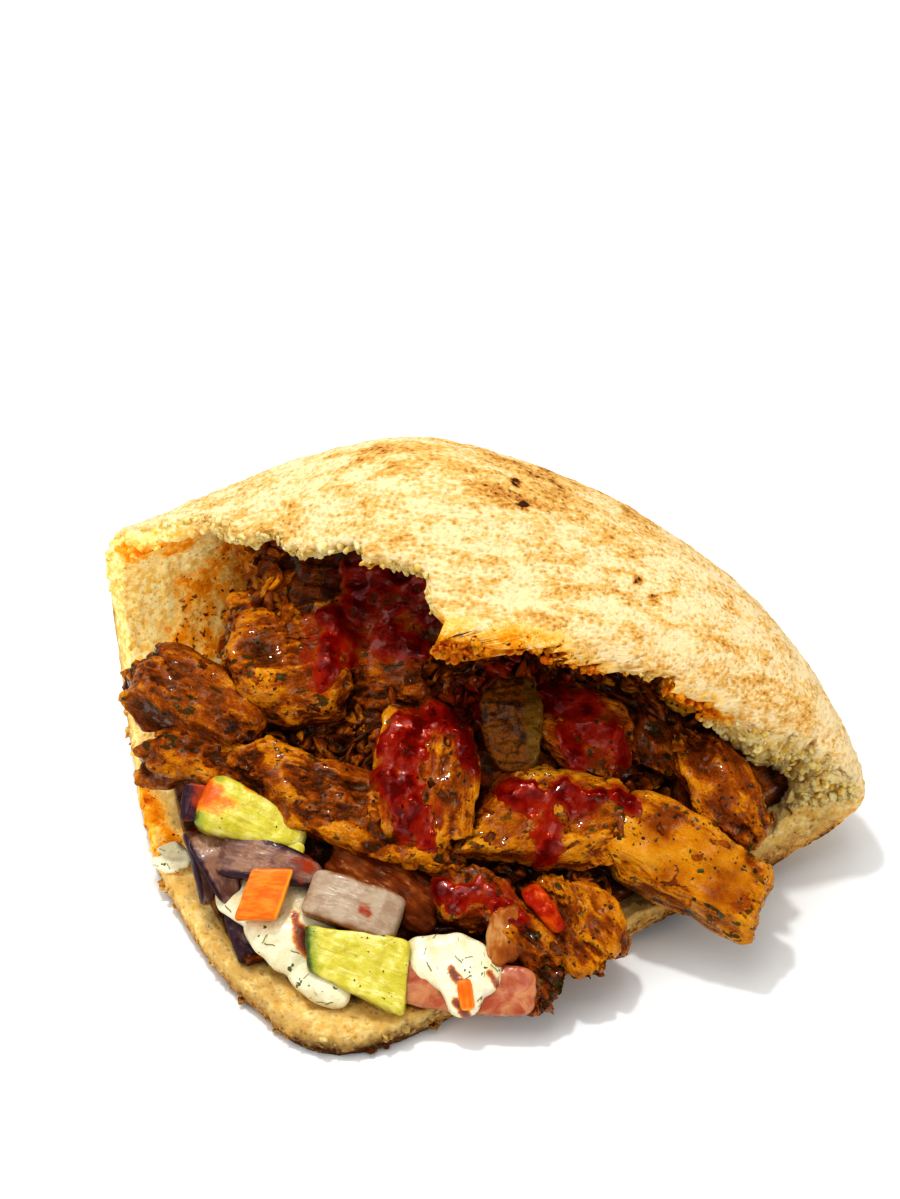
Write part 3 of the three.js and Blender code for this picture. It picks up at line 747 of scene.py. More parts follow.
@material
def flatbread(r):
    """Floury crust whose pebbled grain is golden on its tips and toasted in streaks, open crumb
    where it is torn, and marinade soaked in from amber to orange. The crust's underside and cut
    edge are baked darker, and the crumb of the thin left wall has a painted glow: emission in its
    own colour that stands in for light coming through the wall."""
    bread = settings("bread")
    place = r.position()
    along = r.stretched(place, (0.26, 1, 1), MOTTLE_TURN)
    crumb, baked, burnt = (r.attribute(key) for key in ("crumb", "baked", "burnt"))
    push = r.add("TexNoise", "Color", Vector=place, Scale=900.0, Detail=2.0)
    shaken = r.add("VectorMath", 0, {"operation": "MULTIPLY_ADD"}, i0=push, i1=(0.6 * MM,) * 3, i2=place)
    pebbles = r.range(r.cells(shaken, 1.25), 0.55, 0.12)
    grain = r.noise(r.stretched(place, (0.5, 1, 1), MOTTLE_TURN), 0.9, 3, 0.6)
    streaks = r.noise(along, 5, 5, 0.6, 0.4)
    browned = r.vary(0.56, (1.3, streaks), (0.6, r.noise(along, 26, 2)), (0.85, grain), (0.4, r.noise(place, 14, 3)))
    browned = r.plus(
        browned, (0.13, pebbles), (0.08, r.attribute("raised")), (-0.1, r.attribute("lip")), (0.3, baked),
        (burnt, r.range(streaks, 0.35, 0.6, 0.25, 0.85)),
    )
    crust = r.ramp(browned, (0.42, bread.pale), (0.66, bread.golden), (0.9, bread.toasted), (1.0, bread.charred))

    holes = r.cells(shaken, 1.7)
    open_crumb = r.blend(r.range(r.noise(place, 2.2, 5, 0.65), 0.38, 0.62), bread.straw, bread.crumb)
    height = r.add("SeparateXYZ", 2, Vector=place)
    dense = r.times(r.range(height, 0.03, 0.01), r.range(r.noise(place, 5, 5, 0.65), 0.3, 0.62, 0.2, 0.85))
    open_crumb = r.blend(dense, open_crumb, bread.floor_crumb)
    open_crumb = r.blend(r.range(holes, 0.0, 0.35, 0.45, 0.0), open_crumb, bread.pores)
    edge_crust = r.times(baked, r.range(r.noise(place, 3, 4, 0.65), 0.3, 0.55, 0.35, 1.0))
    edge_tone = r.math("SUBTRACT", grain, r.times(burnt, 0.25))
    edge_colour = r.ramp(edge_tone, (0.36, srgb(90, 52, 20)), (0.52, bread.toasted), (0.68, srgb(206, 164, 100)))
    surface = r.blend(crumb, crust, r.blend(edge_crust, open_crumb, edge_colour))

    soak = r.noise(place, 2.4, 5, 0.7, 0.4)
    wet = r.vary(r.times(r.attribute("stain"), r.range(soak, 0.3, 0.6, 0.35, 0.95)), (0.25, grain))
    faint, deep, darkest = srgb(246, 204, 122), srgb(214, 112, 6), srgb(150, 64, 6)
    soaked = r.ramp(wet, (0.25, faint), (0.5, bread.soaked), (0.85, deep), (1.0, darkest))
    surface = r.blend(r.range(wet, 0.12, 0.34), surface, soaked)
    spice = r.times(r.specks(place, 1.5, 0.55), r.range(wet, 0.2, 0.5, 0.0, 0.9))
    surface = r.blend(spice, surface, srgb(58, 24, 6))

    crust_relief = r.math("ADD", r.times(pebbles, 0.45), r.times(grain, 0.9))
    crumb_relief = r.math("SUBTRACT", r.noise(place, 1.4, 5, 0.7), r.range(holes, 0.0, 0.4, 0.6, 0.0))
    r.finish(
        Base_Color=surface, Roughness=r.range(wet, 0.2, 0.8, 0.88, 0.5), Specular_IOR_Level=0.2,
        subsurface=(0.25, (1.0, 0.62, 0.25), 6),
        # painted glow: emission on the left wall's crumb
        Emission_Color=r.blend(r.attribute("painted_glow"), BLACK, surface), Emission_Strength=0.3,
        Normal=r.bump(r.mix(crumb, crust_relief, crumb_relief), 0.8, 0.8),
    )


class KEBAB_OT_bread(bpy.types.Operator):
    """Builds the flatbread pocket, with its torn lips and crumbs"""

    bl_idname = "kebab.bread"
    bl_label = "Flatbread"

    def execute(self, context):
        points, quads, looks = bread_surface()
        make_piece("flatbread", points, quads, flatbread(), ["bread_pocket"], "bread", **looks)
        self.add_crumbs(points, quads, looks)
        return {"FINISHED"}

    def add_crumbs(self, points, quads, looks):
        """Small ragged blobs, half sunk into the rim, most of them on the torn lips."""
        count = settings("bread").crumbs
        random = np.random.default_rng(3)
        normal = normals_of(points, quads)
        rim = slice(2 * (BREAD_STEPS + 1) ** 2, None)
        chance = np.zeros(len(points))
        chance[rim] = 0.25 + 2.0 * (looks["lip"][rim] > 0.5)
        pick = random.choice(len(points), count, p=chance / chance.sum())
        blob, faces = box_grid((3, 3, 3))
        blob = unit(blob) * (1 + 0.22 * noise(blob * 3, 1.3, 4))[:, None]
        sizes = random.uniform(0.3, 1.2, (count, 1)) * random.uniform(0.4, 1.5, (count, 3))
        axes = random_axes(random, count)
        body, faces = copies(blob, faces, points[pick] + normal[pick] * 0.1, axes, sizes)
        body = body + 0.4 * wobble(body, 0.9, 1)
        crumb_looks = {key: np.repeat(values[pick], len(blob)) for key, values in looks.items()}
        crumb_looks["crumb"] = np.ones(len(body))
        make_piece("torn_crumbs", body, faces, flatbread(), slot="bread", **crumb_looks)


def random_axes(random, count):
    """Three perpendicular axes for each copy, turned at random."""
    first = unit(random.normal(size=(count, 3)))
    second = unit(np.cross(first, random.normal(size=(count, 3))))
    return np.stack([first, second, np.cross(first, second)], 1)


# ---------------------------------------------------------------------------
# The filling's pieces
# ---------------------------------------------------------------------------
FACE_LEAN = np.radians(31)  # how steeply the filling's face leans back in the mouth
FACE_AXES = np.array(
    [[1, 0, 0], [0, np.cos(FACE_LEAN), np.sin(FACE_LEAN)], [0, -np.sin(FACE_LEAN), np.cos(FACE_LEAN)]]
)
FACE_FOOT = (-62.0, 13.0)
HEAP_DEPTH, HEAP_BACK_SLOPE, HEAP_LEFT_HOLLOW = 10.0, 0.6, 34.0
HEAP_REACH, HEAP_LEFT_BARE = 0.96, 0.24


def Lump(node, start, end, width, height, **more):
    """A piece of meat or a blob of sauce along a line, in millimetres. Its tone goes from burnt
    (0) to pale flesh (1), grain is the angle of its fibres to the line, rough scales its relief
    and cut is how clean and pale its outer face is."""
    usual = dict(
        roll=0, squareness=3.4, bend=0, taper=0, relief=0.04, seed=0, facets=7, tone=0.4, grain=0, rough=1.0, cut=0.0
    )
    return SimpleNamespace(node=node, start=start, end=end, width=width, height=height, **{**usual, **more})


CHICKEN = (
    Lump(
        "chicken_slab_right", (29, -26, 30), (64, -44, 19), 21, 12, squareness=5.5, taper=0.1,
        relief=0.02, seed=2, tone=0.48, facets=3, rough=0.45, cut=1.0,
    ),
    Lump("chicken_slab_ketchup", (-14, -4, 47), (-18, -34, 30), 24, 9, squareness=4, seed=3, tone=0.4),
    Lump(
        "chicken_strip_centre", (-12, -25, 31), (34, -27, 29), 22, 14, squareness=4.5, seed=4,
        bend=-1.5, tone=0.43, grain=25, rough=0.9, cut=0.35,
    ),
    Lump(
        "chicken_chunk_right", (47, -3, 38), (61, -28, 24), 18, 16, squareness=3, taper=-0.12,
        seed=5, tone=0.31, rough=0.8,
    ),
    Lump("chicken_back_middle", (11, -3, 41), (33, -9, 37), 25, 15, seed=6, tone=0.3),
    Lump("chicken_chunk_back", (34, 6, 42), (46, -13, 31), 17, 14, seed=7, tone=0.16),
    Lump("chicken_piece_back", (32, 9, 48), (49, 3, 45), 12, 8, seed=8, tone=0.55, cut=0.5),
    Lump("chicken_lower_right", (18, -38, 22), (30, -56, 13), 12, 9, seed=9, tone=0.4, cut=0.4),
    Lump("chicken_lower_middle", (11, -38, 22), (24, -59, 12), 12, 9, seed=10, tone=0.35),
    Lump("chicken_lower_strip", (-8, -35, 24), (16, -57, 13), 11, 9, seed=11, tone=0.24),
    Lump("chicken_lower_left", (-15, -39, 20), (3, -42, 19), 17, 11, seed=12, tone=0.22),
    Lump("chicken_lower_dark", (4, -47, 15), (13, -65, 7.5), 12, 8, seed=13, tone=0.2),
    Lump("chicken_strip_front", (-64, -13, 36), (-6, -33, 25), 19, 14, squareness=4, seed=15, tone=0.33, grain=8),
    Lump(
        "chicken_left", (-89, 8, 47), (-55, -4, 41), 20, 16, squareness=3.6, seed=16, tone=0.27,
        grain=-10, rough=0.8,
    ),
    Lump("chicken_shreds_left", (-85, -9, 37), (-59, -13, 35), 14, 10, relief=0.08, seed=17, tone=0.28),
    Lump("chicken_upper_middle", (-37, 13, 47), (-13, 16, 47), 34, 20, seed=18, tone=0.24),
    Lump(
        "chicken_upper_left", (-65, 15, 49), (-33, 14, 47), 39, 24, squareness=4.5, relief=0.02,
        roll=-14, seed=19, tone=0.37, grain=15, facets=3, rough=0.7,
    ),
    Lump("chicken_under_ketchup", (-8, -8, 37), (16, -17, 31), 17, 12, seed=20, tone=0.2),
)
MUSHROOMS = (
    Lump("mushroom_stalk", (3, -46, 22), (2, -58, 15), 8, 5, squareness=3.5, seed=1, tone=0.6),
    Lump("mushroom_lower", (-39, -30, 24), (-13, -44, 17), 16, 9, squareness=3, seed=14, tone=0.35),
)


def frame_along(start, end, roll=0):
    """Middle, length and axes of a line across the filling's face: along it, across the face and out of it."""
    start, end = np.array(start, float), np.array(end, float)
    along = unit(end - start)
    out = unit(FACE_AXES[2] - along * (FACE_AXES[2] @ along))
    turn = np.radians(roll)
    out = out * np.cos(turn) + np.cross(along, out) * np.sin(turn)
    return (start + end) / 2, np.linalg.norm(end - start), np.stack([along, np.cross(out, along), out])


def lump_body(lump, cell=0.5):
    """A superellipsoid along the lump's line: a cube's point divided by its own power mean, times
    the half sizes. Sines furrow it, its width tapers and it bends with the square of its length.
    Gives the points in the lump's own axes, and its faces."""
    _, size, _ = frame_along(lump.start, lump.end, lump.roll)
    half = np.array([size, lump.width, lump.height]) / 2
    cube, quads = box_grid(tuple(int(n) for n in np.clip(np.ceil(2 * half / cell), 6, 120)))
    swollen = cube / ((np.abs(cube) ** lump.squareness).sum(-1, keepdims=True) ** (1 / lump.squareness))
    x, y, z = unit(cube).T
    furrows = np.sin(5.1 * y + 2.3 * x + lump.seed)
    furrows = furrows + np.sin(4.3 * z - 3.1 * x + 2 * lump.seed) + np.sin(6.7 * x + 3.7 * y - lump.seed)
    body = swollen * half * (1 + lump.relief * furrows)[:, None]
    along = body[:, 0] / half[0]
    body[:, 1] = body[:, 1] * (1 - lump.taper * along) + lump.bend * (along**2 - 0.4)
    return body, quads, half


def cooked_surface(lump):
    """Chicken: the lump's body pushed about by slow noise and pared flat by a few planes, then
    raised into layered flakes and drawn into fibres by noise stretched along the grain."""
    chicken = settings("chicken")
    body, quads, half = lump_body(lump)
    random = np.random.default_rng(lump.seed + 40)
    body += (0.7 + 1.6 * lump.rough) * wobble(body, (15, 10, 10), 2, lump.seed)
    for _ in range(lump.facets):
        facing = unit(random.normal(size=3) * (0.5, 1, 1))
        beyond = body @ facing
        beyond = np.maximum(0, beyond - beyond.max() * random.uniform(0.72, 0.9))
        body -= beyond[:, None] * facing * 0.95
    turn = np.radians(lump.grain)
    x, y, z = body.T
    grain = np.stack([x * np.cos(turn) + y * np.sin(turn), y * np.cos(turn) - x * np.sin(turn), z], -1)
    grain = grain + 50 * lump.seed
    torn_end = 1 + 1.3 * smooth(np.abs(x) / half[0], 0.7, 1)
    shredded = 0.5 + smooth(noise(grain, (14, 9, 9), 85), -0.3, 0.3)
    flakes = terraced(fractal(grain, (10, 5, 5), 3, 50 + lump.seed), 2.2)
    fibres = 0.6 * ridges(grain, (6, 1.8, 1.8), 2, 60) + 0.6 * fractal(grain, (3, 1.3, 1.3), 2, 65)
    rise = chicken.flake_height / MM * (flakes * shredded + 0.5 * fractal(grain, 6, 2, 71))
    rise = (rise + chicken.fibre_depth / MM * fibres * shredded) * torn_end
    body = body + normals_of(body, quads) * (rise * lump.rough)[:, None]
    # proud: painted light on crests and painted shade in creases, from how far each point stands out of the smoothed
    # body
    proud = np.clip(0.5 + 1.1 * crest(body, quads, 6) + 0.5 * crest(body, quads, 60), 0, 1)
    outer_face = smooth(normals_of(body, quads)[:, 2], 0.55, 0.9)
    x, y, _ = np.abs(body.T)
    rim = np.maximum(x / half[0], y / half[1] * 1.05)
    cut_face = lump.cut * outer_face * (1 - smooth(rim + 0.25 * fractal(grain, 6, 3, 77), 0.6, 0.95))
    return body, quads, dict(grain=grain * MM, proud=proud, cut_face=cut_face, tone=np.full(len(body), lump.tone))


def in_place(body, lump):
    """Moves a body from its own axes to its line on the filling's face."""
    middle, _, axes = frame_along(lump.start, lump.end, lump.roll)
    return body @ axes + middle


# ---------------------------------------------------------------------------
# Heights over the filling's face
# ---------------------------------------------------------------------------
CELL = 0.6
MAP_LOW = np.array([-100.0, -80.0])
MAP_SHAPE = (330, 290)
LOWEST = 12.0  # the height given to cells with nothing in them
LAID = {}  # surfaces that sauces and seasoning lie on, by the name of their node


def laid(*groups):
    """The laid surfaces of these groups of pieces."""
    return [LAID[piece.node] for group in groups for piece in group]


def face_cell(points):
    """The height map's cell under each point, and its height out of the face."""
    seen = points @ FACE_AXES.T
    cell = ((seen[..., :2] - MAP_LOW) / CELL).astype(int)
    return np.clip(cell, 0, np.array(MAP_SHAPE) - 1), seen[..., 2]


def blurred(field, times):
    """The mean of each cell and its neighbours, some times over."""
    for _ in range(times):
        for axis in (0, 1):
            ends = np.concatenate([np.take(field, [0], axis), field, np.take(field, [-1], axis)], axis)
            n = field.shape[axis]
            field = sum(np.take(ends, np.arange(k, k + n), axis) for k in range(3)) / 3
    return field


def height_map(surfaces=None):
    """The highest point of the laid surfaces in each cell, its gaps filled from their neighbours."""
    field = np.full(MAP_SHAPE, LOWEST)
    for points, _ in surfaces or LAID.values():
        cell, height = face_cell(points)
        np.maximum.at(field, (cell[:, 0], cell[:, 1]), height)
    wide = np.pad(field, 1, mode="edge")
    columns, rows = MAP_SHAPE
    around = np.max([wide[i : i + columns, j : j + rows] for i, j in np.ndindex(3, 3)], 0)
    return np.where(field < around - 3, around, field)


def depth_in_heap(points, field):
    """0 on top of the filling, 1 well down in the gaps between its pieces: the mask of the painted shade in those
    gaps.
    """
    cell, height = face_cell(points)
    return smooth(field[cell[:, 0], cell[:, 1]] - height, 2.5, 10)


# Ketchup runs on the face: rows of across, up and radius, in millimetres
KETCHUP_RUNS = (
    ((-14, 46, 6), (-22, 50, 8), (-31, 49, 8), (-36, 42, 6.5), (-38, 36, 5), (-40, 30, 4.5), (-41, 26, 3)),
    ((-30, 44, 7), (-24, 39, 6), (-19, 36, 4)),
    ((5, 33, 3), (0, 25, 4), (-9, 19, 5), (-17, 16, 5.5), (-22, 12, 5), (-25, 3, 4), (-23, -3, 3.4), (-20, -11, 2.6)),
    ((-20, 8, 4.5), (-20, 0, 4.5), (-18, -7, 4), (-16, -13, 3)),
    ((-9, 17, 3.5), (-6, 9, 2.6), (-4, 3, 2)),
    ((10, 28, 3.5), (16, 24, 5), (22, 19, 5.5), (27, 13, 4.6), (31, 8, 3)),
    ((17, 13, 3), (21, 7, 2.6)),
    ((-12, -24, 3), (-9, -28, 3.4), (-4, -24, 3)),
    ((0, -26, 3), (6, -31, 2.5)),
    ((4, 0, 3.4), (9, -4, 4.6), (12, -9, 4.4), (12.5, -15, 3.4)),
    ((16, -1, 3.4), (20, -4, 3.6), (25, -2, 2.8)),
    ((30, -1, 2.4), (32.5, -5, 2.8)),
)


SAUCE_SEED = 61
SAUCE_EDGE_NOISE = 0.55
SAUCE_EDGE_DIP = 0.35  # how far the sheet's outermost points are sunk
SAUCE_ROOT = 2.2  # how far its underside lies below its top
SAUCE_HUG = 0.5  # 0 bridges small hollows and 1 follows them


def run_nearness(u, v, runs, widen=1.0):
    """1 on the middle line of the nearest run and 0 at its radius, from the distance to each of
    its straight parts."""
    best = np.full(np.shape(u), -9.0)
    for run in runs:
        for (u0, v0, r0), (u1, v1, r1) in zip(run, run[1:]):
            du, dv = u1 - u0, v1 - v0
            along = np.clip(((u - u0) * du + (v - v0) * dv) / (du * du + dv * dv), 0, 1)
            away = np.hypot(u - u0 - along * du, v - v0 - along * dv)
            best = np.maximum(best, 1 - away / (lerp(r0, r1, along) * widen))
    return best


def sauce_sheet(field, runs, thickness):
    """A sheet of sauce over the height map: its top lies its thickness above the partly smoothed
    map, rounded off towards its noisy edge, and its underside is sunk into the food. Cells
    without sauce are left out and the rest closed by a wall. Gives how much sauce covers each
    vertex too."""
    i, j = np.meshgrid(*(np.arange(n) for n in MAP_SHAPE), indexing="ij")
    u, v = (np.stack([i, j], -1) * CELL + MAP_LOW + CELL / 2).transpose(2, 0, 1)
    flat = np.stack([u, v, 0 * u], -1)
    near = run_nearness(u, v, runs) + SAUCE_EDGE_NOISE * fractal(flat, 4.5, 3, SAUCE_SEED)
    cover = np.clip(near / 0.6, 0, 1) * lerp(0.35, 1, smooth(fractal(flat, 5, 3, SAUCE_SEED + 3), -0.5, 0.4))
    base = lerp(blurred(field, 5), field, SAUCE_HUG)
    wrinkles = 0.22 * ridges(flat, 5.5, 2, SAUCE_SEED + 7) + 0.05 * noise(flat, 1.3, SAUCE_SEED + 9)
    rounded = 0.3 * np.sqrt(1 - (1 - cover) ** 2) + 0.7 * cover
    top = base + thickness * rounded + wrinkles * cover - SAUCE_EDGE_DIP * (cover <= 0)
    out = FACE_AXES[2]
    flat = flat @ FACE_AXES
    points = np.concatenate([(flat + h[..., None] * out).reshape(-1, 3) for h in (top, top - SAUCE_ROOT)])
    count = i.size
    quads = grid_quads(np.arange(count).reshape(MAP_SHAPE))
    quads = quads[(near.reshape(-1)[quads] > 0).any(1)]
    edges = np.stack([quads, np.roll(quads, -1, 1)], -1).reshape(-1, 2)
    _, first, times = np.unique(np.sort(edges, 1), axis=0, return_index=True, return_counts=True)
    border = edges[first[times == 1]]
    wall = np.stack([border[:, 1], border[:, 0], border[:, 0] + count, border[:, 1] + count], 1)
    quads = np.concatenate([quads, (quads + count)[:, ::-1], wall])
    used, again = np.unique(quads, return_inverse=True)
    return points[used], again.reshape(-1, 4), np.concatenate([cover.reshape(-1)] * 2)[used]


# ---------------------------------------------------------------------------
# Finishes of the filling
# ---------------------------------------------------------------------------
@material
def marinated_chicken(r):
    """Roasted chicken in its marinade, with pale cut faces, thin red sauce, pepper and herbs. Painted
    shade darkens its creases and the gaps between the pieces, and painted light makes its crests orange."""
    chicken, sauce = settings("chicken"), settings("sauce")
    grain = r.attribute("grain", vector=True)
    cut_face = r.attribute("cut_face")
    fibre_way = r.stretched(grain, (0.22, 1, 1))
    fibres = r.noise(fibre_way, 1.5, 5, 0.6)
    patches = r.noise(grain, 10, 3, 0.55, 0.3)
    mottle = r.noise(r.stretched(grain, (0.7, 1, 1)), 2.0, 5, 0.7, 0.5)
    fine = r.noise(grain, 0.5, 3, 0.6)
    value = r.math("ADD", r.attribute("tone"), 0.03)
    # proud adds painted light on the pieces' crests and painted shade in their creases; on the heap and scraps it is
    # noise
    value = r.vary(value, (0.85, patches), (0.55, mottle), (0.25, fibres), (0.4, fine), (0.5, r.attribute("proud")))
    is_cut = r.times(cut_face, r.range(mottle, 0.25, 0.45, 0.7, 1.0))
    value = r.mix(is_cut, value, r.vary(0.68, (1.0, patches)))
    surface = r.ramp(
        value, (0.0, chicken.burnt), (0.25, chicken.brown), (0.5, chicken.orange), (0.74, chicken.yellow),
        (1.0, chicken.flesh),
    )
    film = r.math("ADD", r.attribute("sauce"), r.range(r.noise(grain, 6, 4, 0.6, 0.8), 0.52, 0.7, 0.0, 0.45))
    film = r.times(film, r.range(mottle, 0.35, 0.6, 0.4, 1.0))
    surface = r.blend(r.range(film, 0.15, 0.9, 0.0, 0.8), surface, sauce.thin_ketchup)
    # painted shade: darkens the meat deep in the gaps between the pieces
    surface = r.blend(r.times(r.attribute("deep"), 0.6), surface, chicken.gap)
    surface = r.blend(r.times(r.specks(grain, 1.1, 0.5), 0.85), surface, sauce.pepper)
    bare = r.math("SUBTRACT", 1.0, r.times(cut_face, 0.75))
    leaves = r.specks(r.stretched(grain, (0.6, 1, 1)), 2.4, 0.56)
    surface = r.blend(r.times(leaves, r.times(bare, 0.85)), surface, sauce.herb)
    relief = r.math("ADD", r.wet(fibre_way, 2.0, 0.6, 0.45), r.times(mottle, 0.5))
    r.finish(
        Base_Color=surface, Roughness=r.range(mottle, 0.35, 0.65, 0.18, 0.4),
        Specular_IOR_Level=0.3, Specular_Tint=(1.0, 0.6, 0.25),
        Coat_Weight=r.range(r.noise(grain, 2.2, 3), 0.5, 0.6, 0.0, 0.7), Coat_Roughness=0.04,
        subsurface=(0.08, (1.0, 0.35, 0.1), 2.2), Normal=r.bump(relief, 1.2, 0.9),
    )


@material
def ketchup(r):
    """Glossy ketchup: deep red, lighter and more orange where it runs thin, wrinkled all over."""
    sauce, chicken = settings("sauce"), settings("chicken")
    place = r.position()
    thick = r.vary(r.attribute("cover"), (1.5, r.noise(place, 4, 5, 0.6, 0.5)))
    surface = r.ramp(
        thick, (0.02, chicken.orange), (0.2, sauce.thin_ketchup), (0.7, sauce.ketchup), (1.0, srgb(92, 2, 0))
    )
    surface = r.blend(r.specks(place, 1.3, 0.3), surface, sauce.pepper)
    surface = r.blend(r.specks(place, 2.2, 0.3), surface, sauce.herb)
    r.finish(
        Base_Color=surface, Roughness=0.12, Specular_IOR_Level=0.4, Specular_Tint=(1.0, 0.3, 0.2),
        Coat_Weight=r.range(r.noise(place, 3.5, 3), 0.48, 0.58, 0.0, 0.8), Coat_Roughness=0.03,
        subsurface=(0.1, (1.0, 0.08, 0.03), 2), Normal=r.bump(r.wet(place, 4.2, 1.2, 0.2), 1.4, 0.8),
    )


def sauce_on(points):
    """How much thin sauce a point has, from how near it is to a run of ketchup."""
    seen = points @ FACE_AXES.T
    near = run_nearness(seen[:, 0], seen[:, 1], KETCHUP_RUNS, 1.7) + 0.5 * fractal(points, 7, 3, 90)
    return smooth(near, 0.0, 0.8)


def dome_ceiling(points, cell=2.0, shape=(110, 90)):
    """Height of the upper layer's underside over each point, from the sheet's own formula."""
    s, t = np.meshgrid(*(np.linspace(TANGENT_STEP, 1 - TANGENT_STEP, 240),) * 2, indexing="ij")
    s, t = s[s + t > 1.0], t[s + t > 1.0]
    under = sheet_point(s, t) + sheet_tangents(s, t, sheet_point)[2] * thickness_at(s + t)[:, None] / 2

    def square(places):
        """The square of a level grid that each place is in."""
        return tuple(
            np.clip(((places[..., k] + n * cell / 2) / cell).astype(int), 0, n - 1) for k, n in enumerate(shape)
        )

    ceiling = np.full(shape, np.inf)
    np.minimum.at(ceiling, square(under), under[:, 2])
    return ceiling[square(points)]


def heap_surface(columns=150, rows=120):
    """The heap under the pieces: the lower layer, raised in the mouth to the face less its depth
    and rounded down towards the cuts, as the solid is, with coarse ridged noise on top."""
    q, back = np.meshgrid(np.linspace(0.04, 0.95, columns), np.linspace(0, 1, rows), indexing="ij")
    reach = lerp(0.24, HEAP_REACH - HEAP_LEFT_BARE * smooth(q, 0.78, 0.88), back)
    floor = lower_point(q, reach) + UP * (THICKNESS / 2 + 1)
    x, y, z = floor.transpose(2, 0, 1)
    face = FACE_FOOT[1] + (y - FACE_FOOT[0]) * np.tan(FACE_LEAN) - HEAP_DEPTH + HEAP_BACK_SLOPE * np.maximum(0, y)
    face -= HEAP_LEFT_HOLLOW * smooth(-x, 54, 64) * smooth(y, 4, 16)
    lumps = np.sin(x / 4.1) * np.cos(y / 3.7) + np.sin(x / 6.3 + y / 5.1)
    shoulder = np.sqrt(smooth(q, 0, 0.2) * smooth(1 - q, 0, 0.3) * smooth(reach, 0.15, 0.45))
    top = floor.copy()
    top[..., 2] = lerp(z + 1, np.maximum(face + 1.6 * lumps, z + 2), shoulder)
    top[..., 2] += shoulder * (1.6 * ridges(top, (9, 4, 4), 3, 44) + 0.8 * fractal(top, 3, 2, 46))
    top[..., 2] = np.minimum(top[..., 2], np.maximum(dome_ceiling(top) - 1.5, z + 0.5))
    index = np.arange(q.size).reshape(q.shape)
    loop = np.concatenate([index[:-1, 0], index[-1, :-1], index[:0:-1, -1], index[0, :0:-1]])
    ring = np.stack([loop + q.size, loop], 1)
    ring = np.concatenate([ring, ring[:1]])
    quads = np.concatenate([grid_quads(index), (grid_quads(index) + q.size)[:, ::-1], grid_quads(ring)])
    points = np.concatenate([top.reshape(-1, 3), floor.reshape(-1, 3)])
    if (normals_of(points, quads)[: q.size] @ UP).mean() < 0:
        quads = quads[:, ::-1]
    return points, quads


SCRAP_TONES = (0.15, 0.5)
WITH_KETCHUP = ("chicken_slab_ketchup", "chicken_upper_middle", "chicken_back_middle")


class KEBAB_OT_chicken(bpy.types.Operator):
    """Builds each piece of chicken, and the heap that they lie on"""

    bl_idname = "kebab.chicken"
    bl_label = "Chicken"

    def execute(self, context):
        made = []
        for lump in CHICKEN:
            body, quads, looks = cooked_surface(lump)
            points = in_place(body, lump)
            LAID[lump.node] = points, quads
            made.append((lump.node, points, quads, looks))
        points, quads = LAID["chicken_heap"] = heap_surface()
        proud = smooth(fractal(points, 4, 2, 48), -0.6, 0.6)
        looks = dict(grain=points * MM, proud=proud, cut_face=0 * proud, tone=np.full(len(points), 0.25))
        made.append(("chicken_heap", points, quads, looks))
        field = height_map()
        self.add_scraps(points, quads, field)
        for node, points, quads, looks in made:
            # deep: the painted shade of meat well down in the gaps
            deep = depth_in_heap(points, field)
            if node == "chicken_heap":  # its steep sides get painted shade too
                deep = np.maximum(deep, 1 - smooth(normals_of(points, quads)[:, 2], 0.3, 0.8))
            slot = "chicken_with_ketchup" if node in WITH_KETCHUP else "chicken"
            looks.update(sauce=sauce_on(points), deep=deep)
            make_piece(node + "_meat", points, quads, marinated_chicken(), [node], slot, **looks)
        return {"FINISHED"}

    def add_scraps(self, points, quads, field):
        """Torn scraps that fill the gaps between the pieces and lie on the heap's steep left end:
        stretched balls, each bent by noise."""
        chicken = settings("chicken")
        count, by_wall = chicken.scraps, chicken.wall_scraps
        heap = [(points, quads)]
        random = np.random.default_rng(8)
        ball, faces = box_grid((5, 3, 3))
        places, normal = open_spots(random, count, heap, field, 0.2, in_the_meat)
        places = places + FACE_AXES[2] * random.uniform(-0.5, 3.0, (count, 1))
        sizes = random.uniform((1.8, 0.8, 0.4), (6.0, 2.2, 0.9), (count, 3))
        wall = open_spots(random, by_wall, heap, field, -1.0, by_the_wall, 60.0)
        places, normal = np.concatenate([places, wall[0]]), np.concatenate([normal, wall[1]])
        sizes = np.concatenate([sizes, random.uniform((3.0, 1.8, 0.8), (8.0, 4.0, 1.6), (by_wall, 3))])
        axes = laid_axes(random, normal, 0.5)
        body, quads = copies(unit(ball), faces, places, axes, sizes)
        body = body + 1.1 * wobble(body, 3.4)
        on_wall = np.repeat(np.arange(len(places)) >= count, len(ball))
        shifts, tones = random.uniform(0, 400, normal.shape), random.uniform(*SCRAP_TONES, len(places))
        looks = scrap_looks(body, ball, shifts, tones)
        # painted light: the scraps by the wall are made paler to make up for the shade that they lie in
        looks["tone"] += 0.2 * on_wall
        looks["proud"] = smooth(noise(body, 1.6, 5), -0.6, 0.6)
        # painted shade in the gaps, left off the scraps by the wall
        looks["deep"] = 0.5 * depth_in_heap(body, field) * ~on_wall
        make_piece("chicken_scraps", body, quads, marinated_chicken(), slot="chicken", **looks)


def scrap_looks(body, template, shifts, tones):
    """What the meat's material needs to know about scattered copies of one small template, each
    with its own part of the grain and its own tone."""
    each = len(template)
    grain = np.tile(template * (4, 1, 1), (len(shifts), 1)) + np.repeat(shifts, each, 0)
    tone = np.repeat(tones, each)
    return dict(grain=grain * MM, tone=tone, cut_face=0 * tone, sauce=sauce_on(body))


